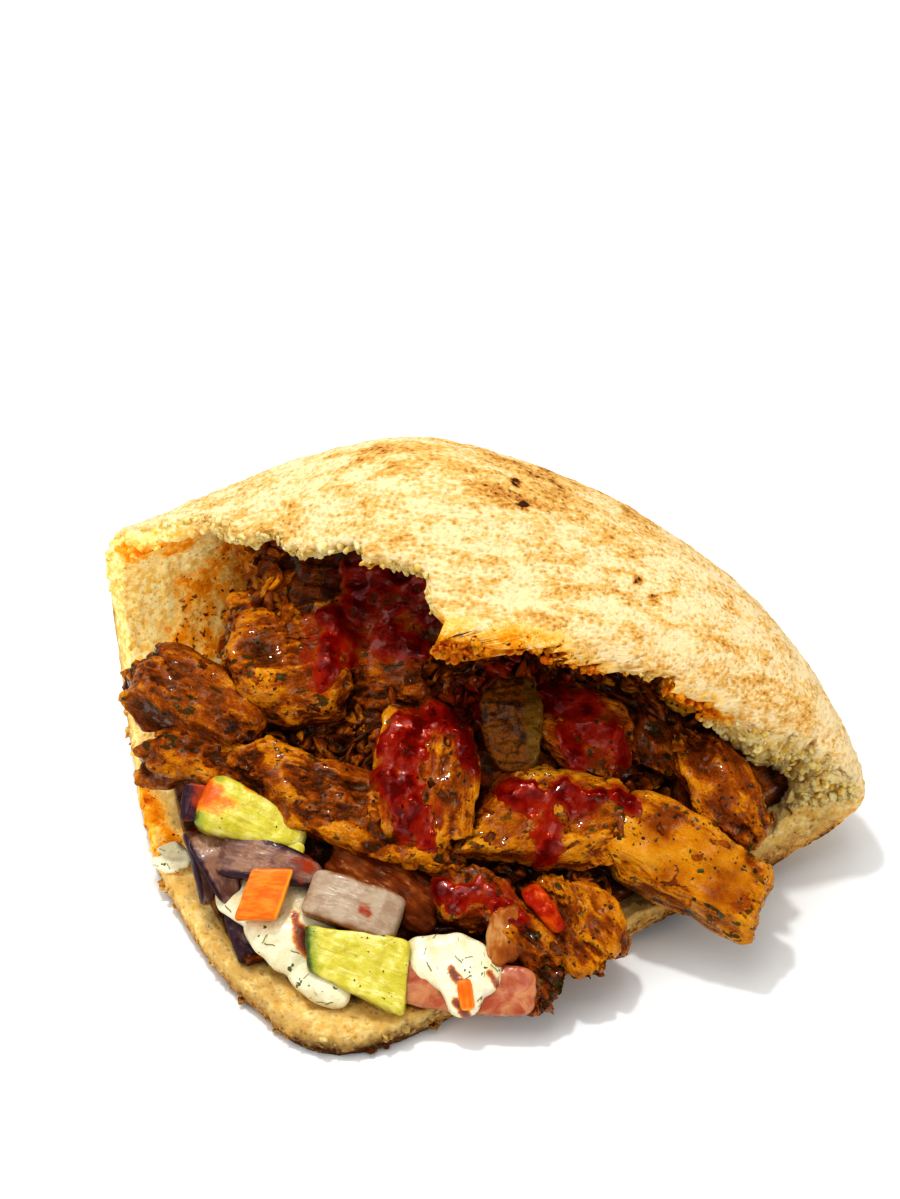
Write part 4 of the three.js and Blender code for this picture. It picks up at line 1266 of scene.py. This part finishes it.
# ---------------------------------------------------------------------------
# Salad and mushrooms
# ---------------------------------------------------------------------------
def Cut(node, start, end, width, height, finish, **more):
    """A cut piece of vegetable along a line, in millimetres."""
    usual = dict(roll=0, arch=0, cup=0, taper=0, skew=0, thin=0, squareness=9, uneven=0.25, seed=0)
    given = dict(node=node, start=start, end=end, width=width, height=height, finish=finish)
    return SimpleNamespace(**{**usual, **given, **more})


def cut_surface(cut, cell=0.45):
    """A block with softened edges, a superellipsoid of high power: it arches out of the face with
    the square of its length, cups across and tapers towards its end, and slow noise makes it uneven."""
    _, size, _ = frame_along(cut.start, cut.end, cut.roll)
    half = np.array([size, cut.width, cut.height]) / 2
    cube, quads = box_grid(tuple(int(n) for n in np.clip(np.ceil(2 * half / cell), 6, 60)), 0.25)
    body = cube / ((np.abs(cube) ** cut.squareness).sum(-1, keepdims=True) ** (1 / cut.squareness)) * half
    x, y, z = body.T
    u, v, w = (body / half).T
    risen = z * (1 - cut.thin * u) + cut.arch * (0.4 - u * u) + cut.cup * (v * v - 0.4)
    body = np.stack([x + cut.skew * v, y * (1 - cut.taper * u), risen], -1)
    body += normals_of(body, quads) * (cut.uneven * fractal(body, 5, 3, cut.seed))[:, None]
    return body, quads, dict(grain=body * MM, ends=np.stack([u, v, w], -1))


SALAD = (
    Cut("carrot_square", (-59, -44, 24), (-49, -44, 24), 12, 3.5, "carrot", skew=2, squareness=14, uneven=0.12),
    Cut("carrot_stick", (-7, -62, 15), (-6, -68, 11), 3.5, 3, "carrot", squareness=5, uneven=0.2, seed=2),
    Cut(
        "cucumber_upper", (-70, -21, 32), (-45, -30, 28), 12, 10, "cucumber", taper=0.36, thin=0.2,
        squareness=4.5, seed=3,
    ),
    Cut(
        "cucumber_lower", (-44, -53, 15), (-20, -60, 12), 14, 8, "cucumber", skew=-2, taper=-0.28,
        thin=-0.1, squareness=12, seed=4,
    ),
    Cut("onion_chunk_white", (-44, -41, 22), (-22, -48, 19), 12, 8, "white_onion", arch=1.5, squareness=7, seed=5),
    Cut("onion_slab", (-65, -32, 27), (-41, -39, 25), 10, 4, "red_onion", arch=2, taper=0.35, squareness=5, seed=6),
    Cut("onion_strip_purple", (-71, -19, 36), (-72, -26, 30), 6, 3, "purple_onion", squareness=6, seed=7),
    Cut(
        "onion_layer_left", (-72, -24, 25), (-68, -39, 15), 5, 2.5, "red_onion", arch=2, taper=0.3,
        roll=-30, squareness=5, seed=8,
    ),
    Cut(
        "onion_layer_middle", (-68, -27, 28), (-62, -41, 18), 9, 3, "red_onion", arch=2.5,
        taper=0.4, cup=0.8, squareness=5, seed=9,
    ),
    Cut("onion_triangle", (-63, -40, 14), (-55, -48, 9), 9, 3, "purple_onion", taper=-0.5, squareness=6, seed=10),
    Cut("cucumber_bit", (-51, -32, 28), (-45, -34, 27), 5, 4, "cucumber", squareness=4, seed=11),
    Cut("tomato_slice", (-22, -60, 12), (10, -63, 11), 12, 4, "tomato", arch=-1, squareness=5, seed=12),
    Cut(
        "pepper_strip", (8, -43, 26), (16, -53, 22), 5, 3, "red_pepper", arch=1.8, taper=0.25,
        squareness=3.5, uneven=0.7, seed=13,
    ),
    Cut(
        "mushroom_slice", (4, 2, 52), (6, -19, 40), 15, 5, "mushroom_cap", arch=1.5, cup=0.8,
        taper=0.1, roll=12, squareness=2.6, seed=14, uneven=0.6,
    ),
)


def ends_of(r):
    """Where a cut piece's surface is along its length, across it and through it, each from -1 to 1."""
    return r.add("SeparateXYZ", 0, Vector=r.attribute("ends", vector=True)).node.outputs


@material
def carrot(r):
    """Carrot with faint streaks along it, paler at its end and on its sides."""
    grain = r.attribute("grain", vector=True)
    u, _, w = ends_of(r)
    streaks = r.noise(r.stretched(grain, (0.3, 1, 1)), 1.2, 4)
    surface = r.blend(r.range(streaks, 0.35, 0.65), settings("salad").carrot, srgb(244, 140, 36))
    surface = r.blend(r.range(u, 0.8, 1.0), surface, srgb(255, 172, 50))
    surface = r.blend(r.range(w, 0.6, -0.6), surface, srgb(250, 150, 40))
    r.finish(
        Base_Color=surface, Roughness=0.34, Specular_IOR_Level=0.3, Coat_Weight=0.06, Coat_Roughness=0.15,
        subsurface=(0.15, (1.0, 0.4, 0.1), 2), Normal=r.bump(streaks, 0.25, 0.6),
    )


@material
def cucumber(r):
    """Wet cucumber: cloudy flesh with paler seed lines, a thin green skin at one end and
    marinade that has run over it."""
    salad, sauce = settings("salad"), settings("sauce")
    grain = r.attribute("grain", vector=True)
    u, _, _ = ends_of(r)
    cloud = r.noise(grain, 4, 5, 0.6, 0.4)
    lines = r.noise(r.stretched(grain, (0.2, 1, 1)), 2.2, 4, 0.6, 0.5)
    surface = r.ramp(cloud, (0.3, srgb(188, 170, 46)), (0.5, salad.cucumber), (0.72, srgb(226, 216, 140)))
    surface = r.blend(r.range(lines, 0.5, 0.68, 0.0, 0.55), surface, srgb(238, 232, 160))
    surface = r.blend(r.range(lines, 0.46, 0.34, 0.0, 0.4), surface, srgb(170, 158, 24))
    rind = r.vary(u, (0.3, cloud))
    surface = r.blend(r.range(rind, -0.62, -0.9), surface, srgb(150, 160, 44))
    surface = r.blend(r.range(rind, -0.84, -0.95), surface, salad.cucumber_skin)
    stain = r.attribute("sauce")
    run = r.times(r.vary(stain, (0.8, cloud)), r.range(stain, 0.0, 0.15))
    amber = r.ramp(run, (0.3, srgb(232, 176, 36)), (0.7, srgb(220, 126, 14)), (1.0, srgb(206, 96, 8)))
    surface = r.blend(r.range(run, 0.15, 0.6), surface, amber)
    surface = r.blend(r.specks(grain, 1.2, 0.25), surface, sauce.pepper)
    relief = r.math("ADD", r.wet(grain, 1.8, 0.5, 0.3), r.times(lines, 0.8))
    r.finish(
        Base_Color=surface, Roughness=0.16, Specular_IOR_Level=0.4, Coat_Weight=0.15, Coat_Roughness=0.05,
        subsurface=(0.3, (1.0, 0.9, 0.3), 2), Normal=r.bump(relief, 0.5, 0.8),
    )


def onion_finish(r, flesh, dark_flesh, skin, skin_low, skin_high):
    """Onion flesh with fine veins along its length, and skin along both its long edges and underneath."""
    grain = r.attribute("grain", vector=True)
    _, v, w = ends_of(r)
    veins = r.noise(r.stretched(grain, (0.16, 1, 1)), 0.9, 4, 0.6)
    cloud = r.noise(grain, 4.5, 5, 0.6, 0.4)
    surface = r.blend(r.range(cloud, 0.36, 0.64), flesh, dark_flesh)
    surface = r.blend(r.range(veins, 0.5, 0.7, 0.0, 0.22), surface, srgb(220, 200, 184))
    edge = r.vary(r.math("ABSOLUTE", v), (0.35, cloud))
    surface = r.blend(r.range(edge, skin_low, skin_high), surface, skin)
    surface = r.blend(r.range(w, -0.5, -0.9), surface, skin)
    run = r.times(r.attribute("sauce"), r.range(cloud, 0.35, 0.6, 0.5, 1.2))
    surface = r.blend(r.range(run, 0.25, 0.7), surface, srgb(160, 60, 12))
    r.finish(
        Base_Color=surface, Roughness=0.24, Specular_IOR_Level=0.35, Coat_Weight=0.08, Coat_Roughness=0.06,
        subsurface=(0.2, (1.0, 0.6, 0.5), 2), Normal=r.bump(r.math("ADD", veins, cloud), 0.4, 0.7),
    )


@material
def red_onion(r):
    """Stained flesh with purple skin on its edges."""
    onion_finish(r, srgb(156, 118, 92), srgb(116, 80, 70), settings("salad").onion_skin, 0.62, 0.86)


@material
def white_onion(r):
    """Cloudy white flesh, browned along its edges."""
    onion_finish(r, settings("salad").onion, srgb(164, 138, 112), srgb(136, 82, 34), 0.78, 1.0)


@material
def purple_onion(r):
    """An outer layer, purple nearly all over."""
    onion_finish(r, srgb(84, 44, 56), srgb(60, 26, 40), settings("salad").onion_skin, 0.2, 0.8)


@material
def tomato(r):
    """Cloudy, wet tomato flesh."""
    cloud = r.noise(r.position(), 5, 4, 0.6, 0.5)
    surface = r.blend(r.range(cloud, 0.35, 0.65), settings("salad").tomato, srgb(196, 138, 96))
    r.finish(
        Base_Color=surface, Roughness=0.2, Specular_IOR_Level=0.4, Coat_Weight=0.15, Coat_Roughness=0.06,
        subsurface=(0.3, (1.0, 0.3, 0.2), 3), Normal=r.bump(cloud, 0.6, 0.6),
    )


@material
def red_pepper(r):
    """Wrinkled, cooked skin, red to orange."""
    cloud = r.noise(r.position(), 4, 4)
    surface = r.blend(r.range(cloud, 0.4, 0.65), settings("salad").pepper, srgb(196, 86, 14))
    r.finish(
        Base_Color=surface, Roughness=0.2, Specular_IOR_Level=0.35, Specular_Tint=(1.0, 0.3, 0.2),
        Coat_Weight=0.04, Coat_Roughness=0.05, subsurface=(0.1, (1.0, 0.3, 0.1), 2),
        Normal=r.bump(cloud, 1.2, 0.8),
    )


@material
def mushroom_cap(r):
    """A slice of mushroom in marinade: a smooth olive rim beside mottled brown gills."""
    grain = r.attribute("grain", vector=True)
    _, v, _ = ends_of(r)
    cloud = r.noise(grain, 3.5, 5, 0.65, 0.6)
    gills = r.noise(r.stretched(grain, (1, 0.2, 1)), 1.2, 4)
    inner = r.ramp(
        cloud, (0.34, srgb(38, 18, 4)), (0.46, srgb(94, 49, 11)), (0.56, srgb(142, 86, 22)), (0.68, srgb(70, 46, 11))
    )
    inner = r.blend(r.range(gills, 0.5, 0.66, 0.0, 0.7), inner, srgb(34, 18, 6))
    rim = r.ramp(gills, (0.35, srgb(92, 64, 10)), (0.65, srgb(128, 94, 24)))
    surface = r.blend(r.range(r.vary(v, (0.25, cloud)), 0.36, 0.56), inner, rim)
    surface = r.blend(r.specks(grain, 1.6, 0.34), surface, settings("sauce").pepper)
    r.finish(
        Base_Color=surface, Roughness=r.range(cloud, 0.3, 0.7, 0.16, 0.4),
        Specular_IOR_Level=0.3, Specular_Tint=(1.0, 0.6, 0.3),
        Coat_Weight=r.range(cloud, 0.46, 0.56, 0.5, 0.0), Coat_Roughness=0.05,
        subsurface=(0.1, (1.0, 0.6, 0.2), 2), Normal=r.bump(cloud, 1.0, 0.7),
    )


@material
def cooked_mushroom(r):
    """Brown, wet mushroom, mottled and streaked along its grain."""
    grain = r.attribute("grain", vector=True)
    streaks = r.noise(r.stretched(grain, (0.25, 1, 1)), 1.6, 4)
    value = r.vary(r.attribute("tone"), (1.0, r.noise(grain, 6, 5)), (0.4, streaks))
    browns = (0.05, srgb(36, 14, 6)), (0.35, srgb(112, 50, 14)), (0.65, srgb(164, 96, 36)), (0.95, srgb(214, 176, 120))
    surface = r.ramp(value, *browns)
    # painted shade where the mushroom lies deep in the gaps between the pieces
    surface = r.blend(r.times(r.attribute("deep"), 0.85), surface, srgb(22, 8, 4))
    r.finish(
        Base_Color=surface, Roughness=0.28, Specular_IOR_Level=0.3, Specular_Tint=(1.0, 0.6, 0.3),
        Coat_Weight=0.08, Coat_Roughness=0.08, subsurface=(0.15, (1.0, 0.6, 0.3), 2),
        Normal=r.bump(streaks, 0.7, 0.7),
    )


# Each finish's material, and the slot of the solid that it dresses
FINISHES = {
    "carrot": (carrot, "carrot"),
    "cucumber": (cucumber, "cucumber"),
    "white_onion": (white_onion, "red_onion"),
    "red_onion": (red_onion, "red_onion"),
    "purple_onion": (purple_onion, "red_onion"),
    "tomato": (tomato, "tomato"),
    "red_pepper": (red_pepper, "red_pepper"),
    "mushroom_cap": (mushroom_cap, "mushroom"),
}

# Marinade on the salad: x, y, z, radius, strength
SALAD_STAINS = (
    (-68, -22, 35, 7, 1.0), (-63, -25, 34, 5, 0.7), (-56, -20, 34, 6, 0.4), (-73, -22, 28, 7, 0.8),
    (-44, -38, 28, 6, 0.5), (-30, -48, 22, 4, 0.5), (-23, -54, 16, 4, 0.5),
)


class KEBAB_OT_salad(bpy.types.Operator):
    """Builds the vegetables and mushrooms"""

    bl_idname = "kebab.salad"
    bl_label = "Salad and mushrooms"

    def execute(self, context):
        for cut in SALAD:
            body, quads, looks = cut_surface(cut)
            points = in_place(body, cut)
            LAID[cut.node] = points, quads
            stain = blotches(points, SALAD_STAINS)
            stain = np.clip(stain + 0.4 * fractal(points, 4, 3, 80) * (stain > 0.05), 0, 1)
            finish, slot = FINISHES[cut.finish]
            make_piece(cut.node + "_cut", points, quads, finish(), [cut.node], slot, sauce=stain, **looks)
        for lump in MUSHROOMS:
            body, quads, _ = lump_body(lump)
            grain = body + 30 * lump.seed
            rise = 0.7 * fractal(grain, (8, 4, 4), 3, lump.seed) + 0.2 * ridges(grain, (6, 1.6, 1.6), 2, 3)
            body = body + normals_of(body, quads) * rise[:, None]
            points = in_place(body, lump)
            LAID[lump.node] = points, quads
            # deep: the mask of the painted shade in the gaps
            deep = depth_in_heap(points, height_map())
            looks = dict(grain=grain * MM, tone=np.full(len(body), lump.tone), deep=deep)
            make_piece(lump.node + "_cooked", points, quads, cooked_mushroom(), [lump.node], "mushroom", **looks)
        return {"FINISHED"}


# ---------------------------------------------------------------------------
# Sauces
# ---------------------------------------------------------------------------
def Spoonful(start, end, width, height):
    """A smooth run of yoghurt along a line, in millimetres."""
    return Lump("", start, end, width, height, squareness=2.3, relief=0.0)


YOGHURT = {
    "yoghurt_left": (
        Spoonful((-67, -37, 18), (-36, -46, 16), 14, 7),
        Spoonful((-57, -44, 17), (-43, -54, 11), 14, 8),
        Spoonful((-48, -53, 10), (-34, -63, 9.5), 10, 7),
    ),
    "yoghurt_right": (
        Spoonful((-22, -54, 15), (2, -60, 14), 14, 7),
        Spoonful((-10, -55, 15), (-6, -69, 9), 9, 6),
    ),
    "yoghurt_dab": (Spoonful((-84.5, -17.5, 10), (-74, -22, 10), 9, 3.4),),
}
DAB_HEIGHT = 9.6  # of the middle of the flat smear


@material
def yoghurt(r):
    """Thick yoghurt: creamy, soft and barely glossy, with brown-red sauce run over it in places."""
    sauce = settings("sauce")
    place = r.position()
    cloud = r.noise(place, 6, 5, 0.6, 0.5)
    surface = r.blend(r.range(cloud, 0.42, 0.66, 0.0, 0.8), sauce.yoghurt, srgb(222, 208, 160))
    stain = r.attribute("sauce")
    run = r.times(r.vary(stain, (0.5, r.noise(place, 2.2, 4))), r.range(stain, 0.02, 0.2))
    stained = r.ramp(
        run, (0.2, srgb(240, 214, 150)), (0.46, srgb(218, 134, 44)), (0.74, srgb(164, 66, 14)), (1.0, srgb(118, 32, 8))
    )
    surface = r.blend(r.range(run, 0.1, 0.42, 0.0, 0.92), surface, stained)
    surface = r.blend(r.specks(place, 1.6, 0.3), surface, srgb(90, 100, 44))
    r.finish(
        Base_Color=surface, Roughness=0.3, Coat_Weight=0.3, Coat_Roughness=0.15,
        subsurface=(0.3, (1.0, 0.85, 0.6), 2), Normal=r.bump(r.wet(place, 3.2, 0.9, 0.2), 1.3, 0.8),
    )


# Thin brown-red sauce on the yoghurt: rows of across, up and radius on the face, in millimetres
YOGHURT_RUNS = (
    ((-47, -30, 1.4), (-46, -33, 2), (-44, -36, 2.4), (-42, -39, 2.4), (-39, -42, 2.2), (-36, -45, 1.6)),
    ((-24, -41, 1.6), (-20, -45, 1.8)),
    ((-10, -43, 0.8), (-8, -46, 1.2)),
    ((-9, -51, 1.0), (-6, -54, 1.2)),
    ((-1, -44, 0.8), (2, -49, 1.0)),
)


class KEBAB_OT_sauces(bpy.types.Operator):
    """Builds the yoghurt sauce and the ketchup"""

    bl_idname = "kebab.sauces"
    bl_label = "Sauces"

    def execute(self, context):
        for node, runs in YOGHURT.items():
            parts = []
            for run in runs:
                body, quads, _ = lump_body(run, 0.7)
                parts.append((in_place(body, run), quads))
            points, quads = joined(parts)
            points = points + normals_of(points, quads) * (1.2 * fractal(points, 9, 2, 15))[:, None]
            if node == "yoghurt_dab":  # a flat smear
                flatter = 0.55 + 0.5 * fractal(points, (9, 3, 3), 2, 16)
                points[:, 2] = DAB_HEIGHT + (points[:, 2] - DAB_HEIGHT) * flatter
            piece = make_piece(node + "_spooned", points, quads, yoghurt(), [node], "yoghurt_sauce")
            points, quads = LAID[node] = self.flow_together(piece)
            seen = points @ FACE_AXES.T
            near = run_nearness(seen[:, 0], seen[:, 1], YOGHURT_RUNS) + 0.5 * fractal(points, 4, 3, 82)
            layer = piece.data.attributes.new("sauce", "FLOAT", "POINT")
            layer.data.foreach_set("value", smooth(near, -0.5, 0.95).astype(np.float32))
        self.add_ketchup()
        return {"FINISHED"}

    def flow_together(self, piece):
        """Joins a piece's crossing runs into one smooth skin and gives back its points and faces."""
        remesh = piece.modifiers.new("one skin", "REMESH")
        remesh.mode, remesh.voxel_size = "VOXEL", 0.6 * MM
        soften = piece.modifiers.new("soften", "SMOOTH")
        soften.factor, soften.iterations = 0.5, 6
        bpy.context.view_layer.update()
        evaluated = piece.evaluated_get(bpy.context.evaluated_depsgraph_get())
        skin = bpy.data.meshes.new_from_object(evaluated)
        piece.modifiers.clear()
        old, piece.data = piece.data, skin
        bpy.data.meshes.remove(old)
        if not skin.materials:
            skin.materials.append(yoghurt())
        skin.polygons.foreach_set("use_smooth", np.ones(len(skin.polygons), bool))
        points = np.empty(len(skin.vertices) * 3, np.float32)
        skin.vertices.foreach_get("co", points)
        corners = np.empty(len(skin.loops), np.int32)
        skin.loops.foreach_get("vertex_index", corners)
        return points.reshape(-1, 3) / MM - ORIGIN, corners.reshape(-1, 4)

    def add_ketchup(self):
        """Pours the ketchup over the chicken."""
        thickness = settings("sauce").ketchup_thickness / MM
        meat = height_map(laid(CHICKEN) + [LAID["chicken_heap"]])
        points, quads, cover = sauce_sheet(meat, KETCHUP_RUNS, thickness)
        points = relaxed(points, quads, 1)
        make_piece("ketchup_pour", points, quads, ketchup(), slot="chicken_with_ketchup", cover=cover)
        LAID["ketchup_pour"] = points, quads


# ---------------------------------------------------------------------------
# Seasoning
# ---------------------------------------------------------------------------
def dry_finish(r, factor, dark, light, size, depth):
    """A dull two-coloured surface with fine relief."""
    surface = r.blend(factor, dark, light)
    r.finish(Base_Color=surface, Roughness=0.5, Normal=r.bump(r.noise(r.position(), size, 2), depth))


@material
def ground_pepper(r):
    """Black pepper, brown where it is broken."""
    dry_finish(r, r.noise(r.position(), 0.5, 3), settings("sauce").pepper, srgb(60, 34, 18), 0.3, 0.1)


@material
def dried_herb(r):
    """Dark green leaf, lighter in patches."""
    patches = r.range(r.noise(r.position(), 1.5, 3), 0.4, 0.6)
    dry_finish(r, patches, settings("sauce").herb, srgb(72, 84, 24), 0.4, 0.1)


@material
def dill(r):
    """Green dill under a film of yoghurt."""
    patches = r.range(r.noise(r.position(), 1.5, 3), 0.4, 0.6)
    dry_finish(r, patches, srgb(84, 100, 44), srgb(132, 142, 84), 0.4, 0.05)


def anywhere(points):
    return np.ones(len(points), bool)


def in_the_meat(points):
    """Where the gaps between the pieces show: in the mouth, above the salad."""
    x, y, _ = points.T
    above_salad = (y > -48) & (y > -14 - 0.55 * (x + 58))
    return above_salad & (x < 58) & (y < 22) & ((x > -50) | (y < 12)) & ((x > -10) | (y < 8))


def by_the_wall(points):
    """The steep left end of the heap, next to the bare wall of bread."""
    x, y, z = points.T
    return (x < -50) & (x > -72) & (y > 12) & (y < 44) & (z > 22)


def open_spots(random, count, surfaces, field, tilt=0.15, within=anywhere, depth=0.8):
    """Random places on the filling, no deeper than this under its top, with the surface's normal there."""
    points = np.concatenate([p for p, _ in surfaces])
    normal = np.concatenate([normals_of(p, q) for p, q in surfaces])
    cell, height = face_cell(points)
    is_open = (height > field[cell[:, 0], cell[:, 1]] - depth) & (normal @ FACE_AXES[2] > tilt) & within(points)
    pick = random.choice(np.nonzero(is_open)[0], count)
    return points[pick], normal[pick]


def laid_axes(random, normal, lean=0.3):
    """Axes for copies that lie on a surface: the third one is near its normal."""
    out = unit(normal + lean * random.normal(size=normal.shape))
    first = unit(np.cross(out, random.normal(size=normal.shape)))
    return np.stack([first, np.cross(out, first), out], 1)


class KEBAB_OT_seasoning(bpy.types.Operator):
    """Scatters shreds of chicken, ground pepper and herbs over the filling"""

    bl_idname = "kebab.seasoning"
    bl_label = "Shreds and seasoning"

    def execute(self, context):
        random = np.random.default_rng(5)
        field = height_map()
        meat = laid(CHICKEN)
        sauced = meat + [LAID["ketchup_pour"]]
        self.add_shreds(random, meat, field)
        self.add_pepper(random, sauced, field)
        self.add_herbs(random, sauced, field)
        self.add_dill(random, [LAID[node] for node in YOGHURT], field)
        return {"FINISHED"}

    def add_shreds(self, random, surfaces, field):
        """Strips a few fibres thick that lie on the meat: a stretched ball, bent and tapered."""
        count = settings("chicken").shreds
        strip, faces = box_grid((7, 2, 2))
        x = strip[:, :1]
        strip = np.concatenate([x, unit(strip * (0.5, 1, 1))[:, 1:] * (1 - 0.55 * x**2)], 1)
        places, normal = open_spots(random, count, surfaces, field, 0.05)
        sizes = random.uniform((1.0, 0.6, 0.25), (3.6, 1.6, 0.5), (count, 3))
        body, quads = copies(strip, faces, places - 0.1 * normal, laid_axes(random, normal, 0.2), sizes)
        body = body + 0.8 * wobble(body, 2.6)
        tones = random.uniform(*SCRAP_TONES, count)
        looks = scrap_looks(body, strip, random.uniform(0, 400, (count, 3)), tones)
        # deep: painted shade on shreds that lie in the gaps
        looks.update(proud=np.full(len(body), 0.6), deep=depth_in_heap(body, field))
        make_piece("chicken_shreds", body, quads, marinated_chicken(), slot="chicken", **looks)

    def add_pepper(self, random, surfaces, field):
        """Ragged little balls."""
        count = settings("sauce").pepper_grains
        grain, faces = box_grid((2, 2, 2))
        grain = unit(grain) * (1 + 0.3 * noise(grain * 2, 1.1, 2))[:, None]
        places, normal = open_spots(random, count, surfaces, field)
        axes = laid_axes(random, normal)
        sizes = random.uniform(0.22, 0.55, (count, 1)) * random.uniform(0.7, 1.3, (count, 3))
        body, quads = copies(grain, faces, places, axes, sizes)
        make_piece("ground_pepper", body, quads, ground_pepper(), slot="chicken")

    def add_herbs(self, random, surfaces, field):
        """Thin leaves that narrow and curl up with the square of their length, crumpled by noise."""
        count = settings("sauce").herb_flakes
        leaf, faces = box_grid((4, 2, 1))
        along = leaf[:, :1]
        leaf = leaf * (1, 0.5, 0.12) * (1 - 0.25 * along**2) + 0.25 * along**2 * UP
        places, normal = open_spots(random, count, surfaces, field)
        axes = laid_axes(random, normal)
        sizes = random.uniform(0.35, 0.95, (count, 1)) * random.uniform(0.6, 1.3, (count, 3))
        body, quads = copies(leaf, faces, places + 0.05 * normal, axes, sizes)
        body = body + 0.25 * wobble(body, 0.9, 1)
        make_piece("herb_flakes", body, quads, dried_herb(), slot="chicken")

    def add_dill(self, random, surfaces, field):
        """Thin strands that wave with a sine along their length."""
        count = settings("sauce").dill_strands
        strand, faces = box_grid((8, 1, 1))
        strand = strand * (1, 0.09, 0.05) + 0.16 * np.sin(2.2 * strand[:, :1]) * (0, 1, 0)
        places, normal = open_spots(random, count, surfaces, field, 0.3)
        axes = laid_axes(random, normal, 0.05)
        sizes = random.uniform(0.4, 1.3, (count, 1)) * np.ones(3)
        body, quads = copies(strand, faces, places + 0.03 * normal, axes, sizes)
        make_piece("dill_strands", body, quads, dill(), slot="yoghurt_sauce")


# ---------------------------------------------------------------------------
# Stage
# ---------------------------------------------------------------------------
TABLE_HALF = 3.0  # metres
# Lights: place, turn, size in metres and share of the key light's power
LIGHTS = {
    "glint": ((-0.16, 0.12, 0.85), (-0.14, -0.18, 0), 0.06, 0.55),
    "key": ((-0.24, 0.1, 0.98), (-0.1, -0.24, 0), 1.0, 1.0),
    "front left": ((-0.8, -0.55, 0.45), (1.15, 0, -0.97), 1.1, 0.5),
    "front right": ((0.75, -0.6, 0.4), (1.12, 0, 0.9), 0.6, 0.55),
}
CAMERA_PLACE = (-0.00706, -0.42259, 0.44790)
CAMERA_TILT = np.radians(49)


@material
def table_top(r):
    """White, with a faint cloud in it."""
    surface = r.blend(r.noise(r.position(), 60, 2), settings("stage").floor, srgb(240, 242, 242))
    r.finish(Base_Color=surface, Roughness=0.3, Specular_IOR_Level=0.3)


class KEBAB_OT_stage(bpy.types.Operator):
    """Adds the table top, the soft lights and the camera"""

    bl_idname = "kebab.stage"
    bl_label = "Stage"

    def execute(self, context):
        scene, stage = context.scene, settings("stage")
        corners = TABLE_HALF * np.array([[-1, -1, 0], [1, -1, 0], [1, 1, 0], [-1, 1, 0]])
        mesh = bpy.data.meshes.new("table")
        mesh.from_pydata(corners.tolist(), [], [(0, 1, 2, 3)])
        mesh.materials.append(table_top())
        table = self.add("table", mesh)
        scene.world = bpy.data.worlds.new("white room")
        scene.world.use_nodes = True
        background = scene.world.node_tree.nodes["Background"].inputs
        background["Color"].default_value = (1, 1, 1, 1)
        background["Strength"].default_value = stage.sky
        for name, (place, turn, size, share) in LIGHTS.items():
            light = bpy.data.lights.new(name, "AREA")
            light.size, light.energy = size, stage.key_power * share
            self.add(name, light, place, turn)
        lens = bpy.data.cameras.new("camera")
        lens.lens, lens.sensor_width = stage.focal_length, 36
        scene.camera = self.add("camera", lens, CAMERA_PLACE, (CAMERA_TILT, 0, 0))
        scene.view_settings.view_transform = "Standard"
        scene.view_settings.look = "High Contrast"
        return {"FINISHED"}

    def add(self, name, data, place=(0, 0, 0), turn=(0, 0, 0)):
        """Puts a mesh, a light or a camera into the scene."""
        thing = bpy.data.objects.new(name, data)
        thing.location, thing.rotation_euler = place, turn
        bpy.context.scene.collection.objects.link(thing)
        return thing


class KEBAB_PT_panel(bpy.types.Panel):
    """Lists the pieces and what may be changed about them"""

    bl_idname = "KEBAB_PT_panel"
    bl_label = "Doner kebab"
    bl_space_type = "VIEW_3D"
    bl_region_type = "UI"
    bl_category = "Kebab"

    def draw(self, context):
        for group, operators in PANEL_ROWS:
            box = self.layout.box()
            for operator in operators:
                box.operator(operator.bl_idname)
            for key in settings(group).__annotations__:
                box.prop(settings(group), key)


PANEL_ROWS = (
    ("bread", (KEBAB_OT_bread,)),
    ("chicken", (KEBAB_OT_chicken,)),
    ("salad", (KEBAB_OT_salad,)),
    ("sauce", (KEBAB_OT_sauces, KEBAB_OT_seasoning)),
    ("stage", (KEBAB_OT_stage,)),
)
SETTINGS = {
    "bread": BreadSettings,
    "chicken": ChickenSettings,
    "sauce": SauceSettings,
    "salad": SaladSettings,
    "stage": StageSettings,
}
CLASSES = (*SETTINGS.values(), *(operator for _, row in PANEL_ROWS for operator in row), KEBAB_PT_panel)


def register():
    for item in CLASSES:
        bpy.utils.register_class(item)
    for name, group in SETTINGS.items():
        setattr(bpy.types.Scene, "kebab_" + name, PointerProperty(type=group))


def unregister():
    for name in SETTINGS:
        delattr(bpy.types.Scene, "kebab_" + name)
    for item in reversed(CLASSES):
        bpy.utils.unregister_class(item)


def main():
    register()
    bpy.ops.kebab.bread()
    bpy.ops.kebab.chicken()
    bpy.ops.kebab.salad()
    bpy.ops.kebab.sauces()
    bpy.ops.kebab.seasoning()
    bpy.ops.kebab.stage()


if __name__ == "__main__":
    main()
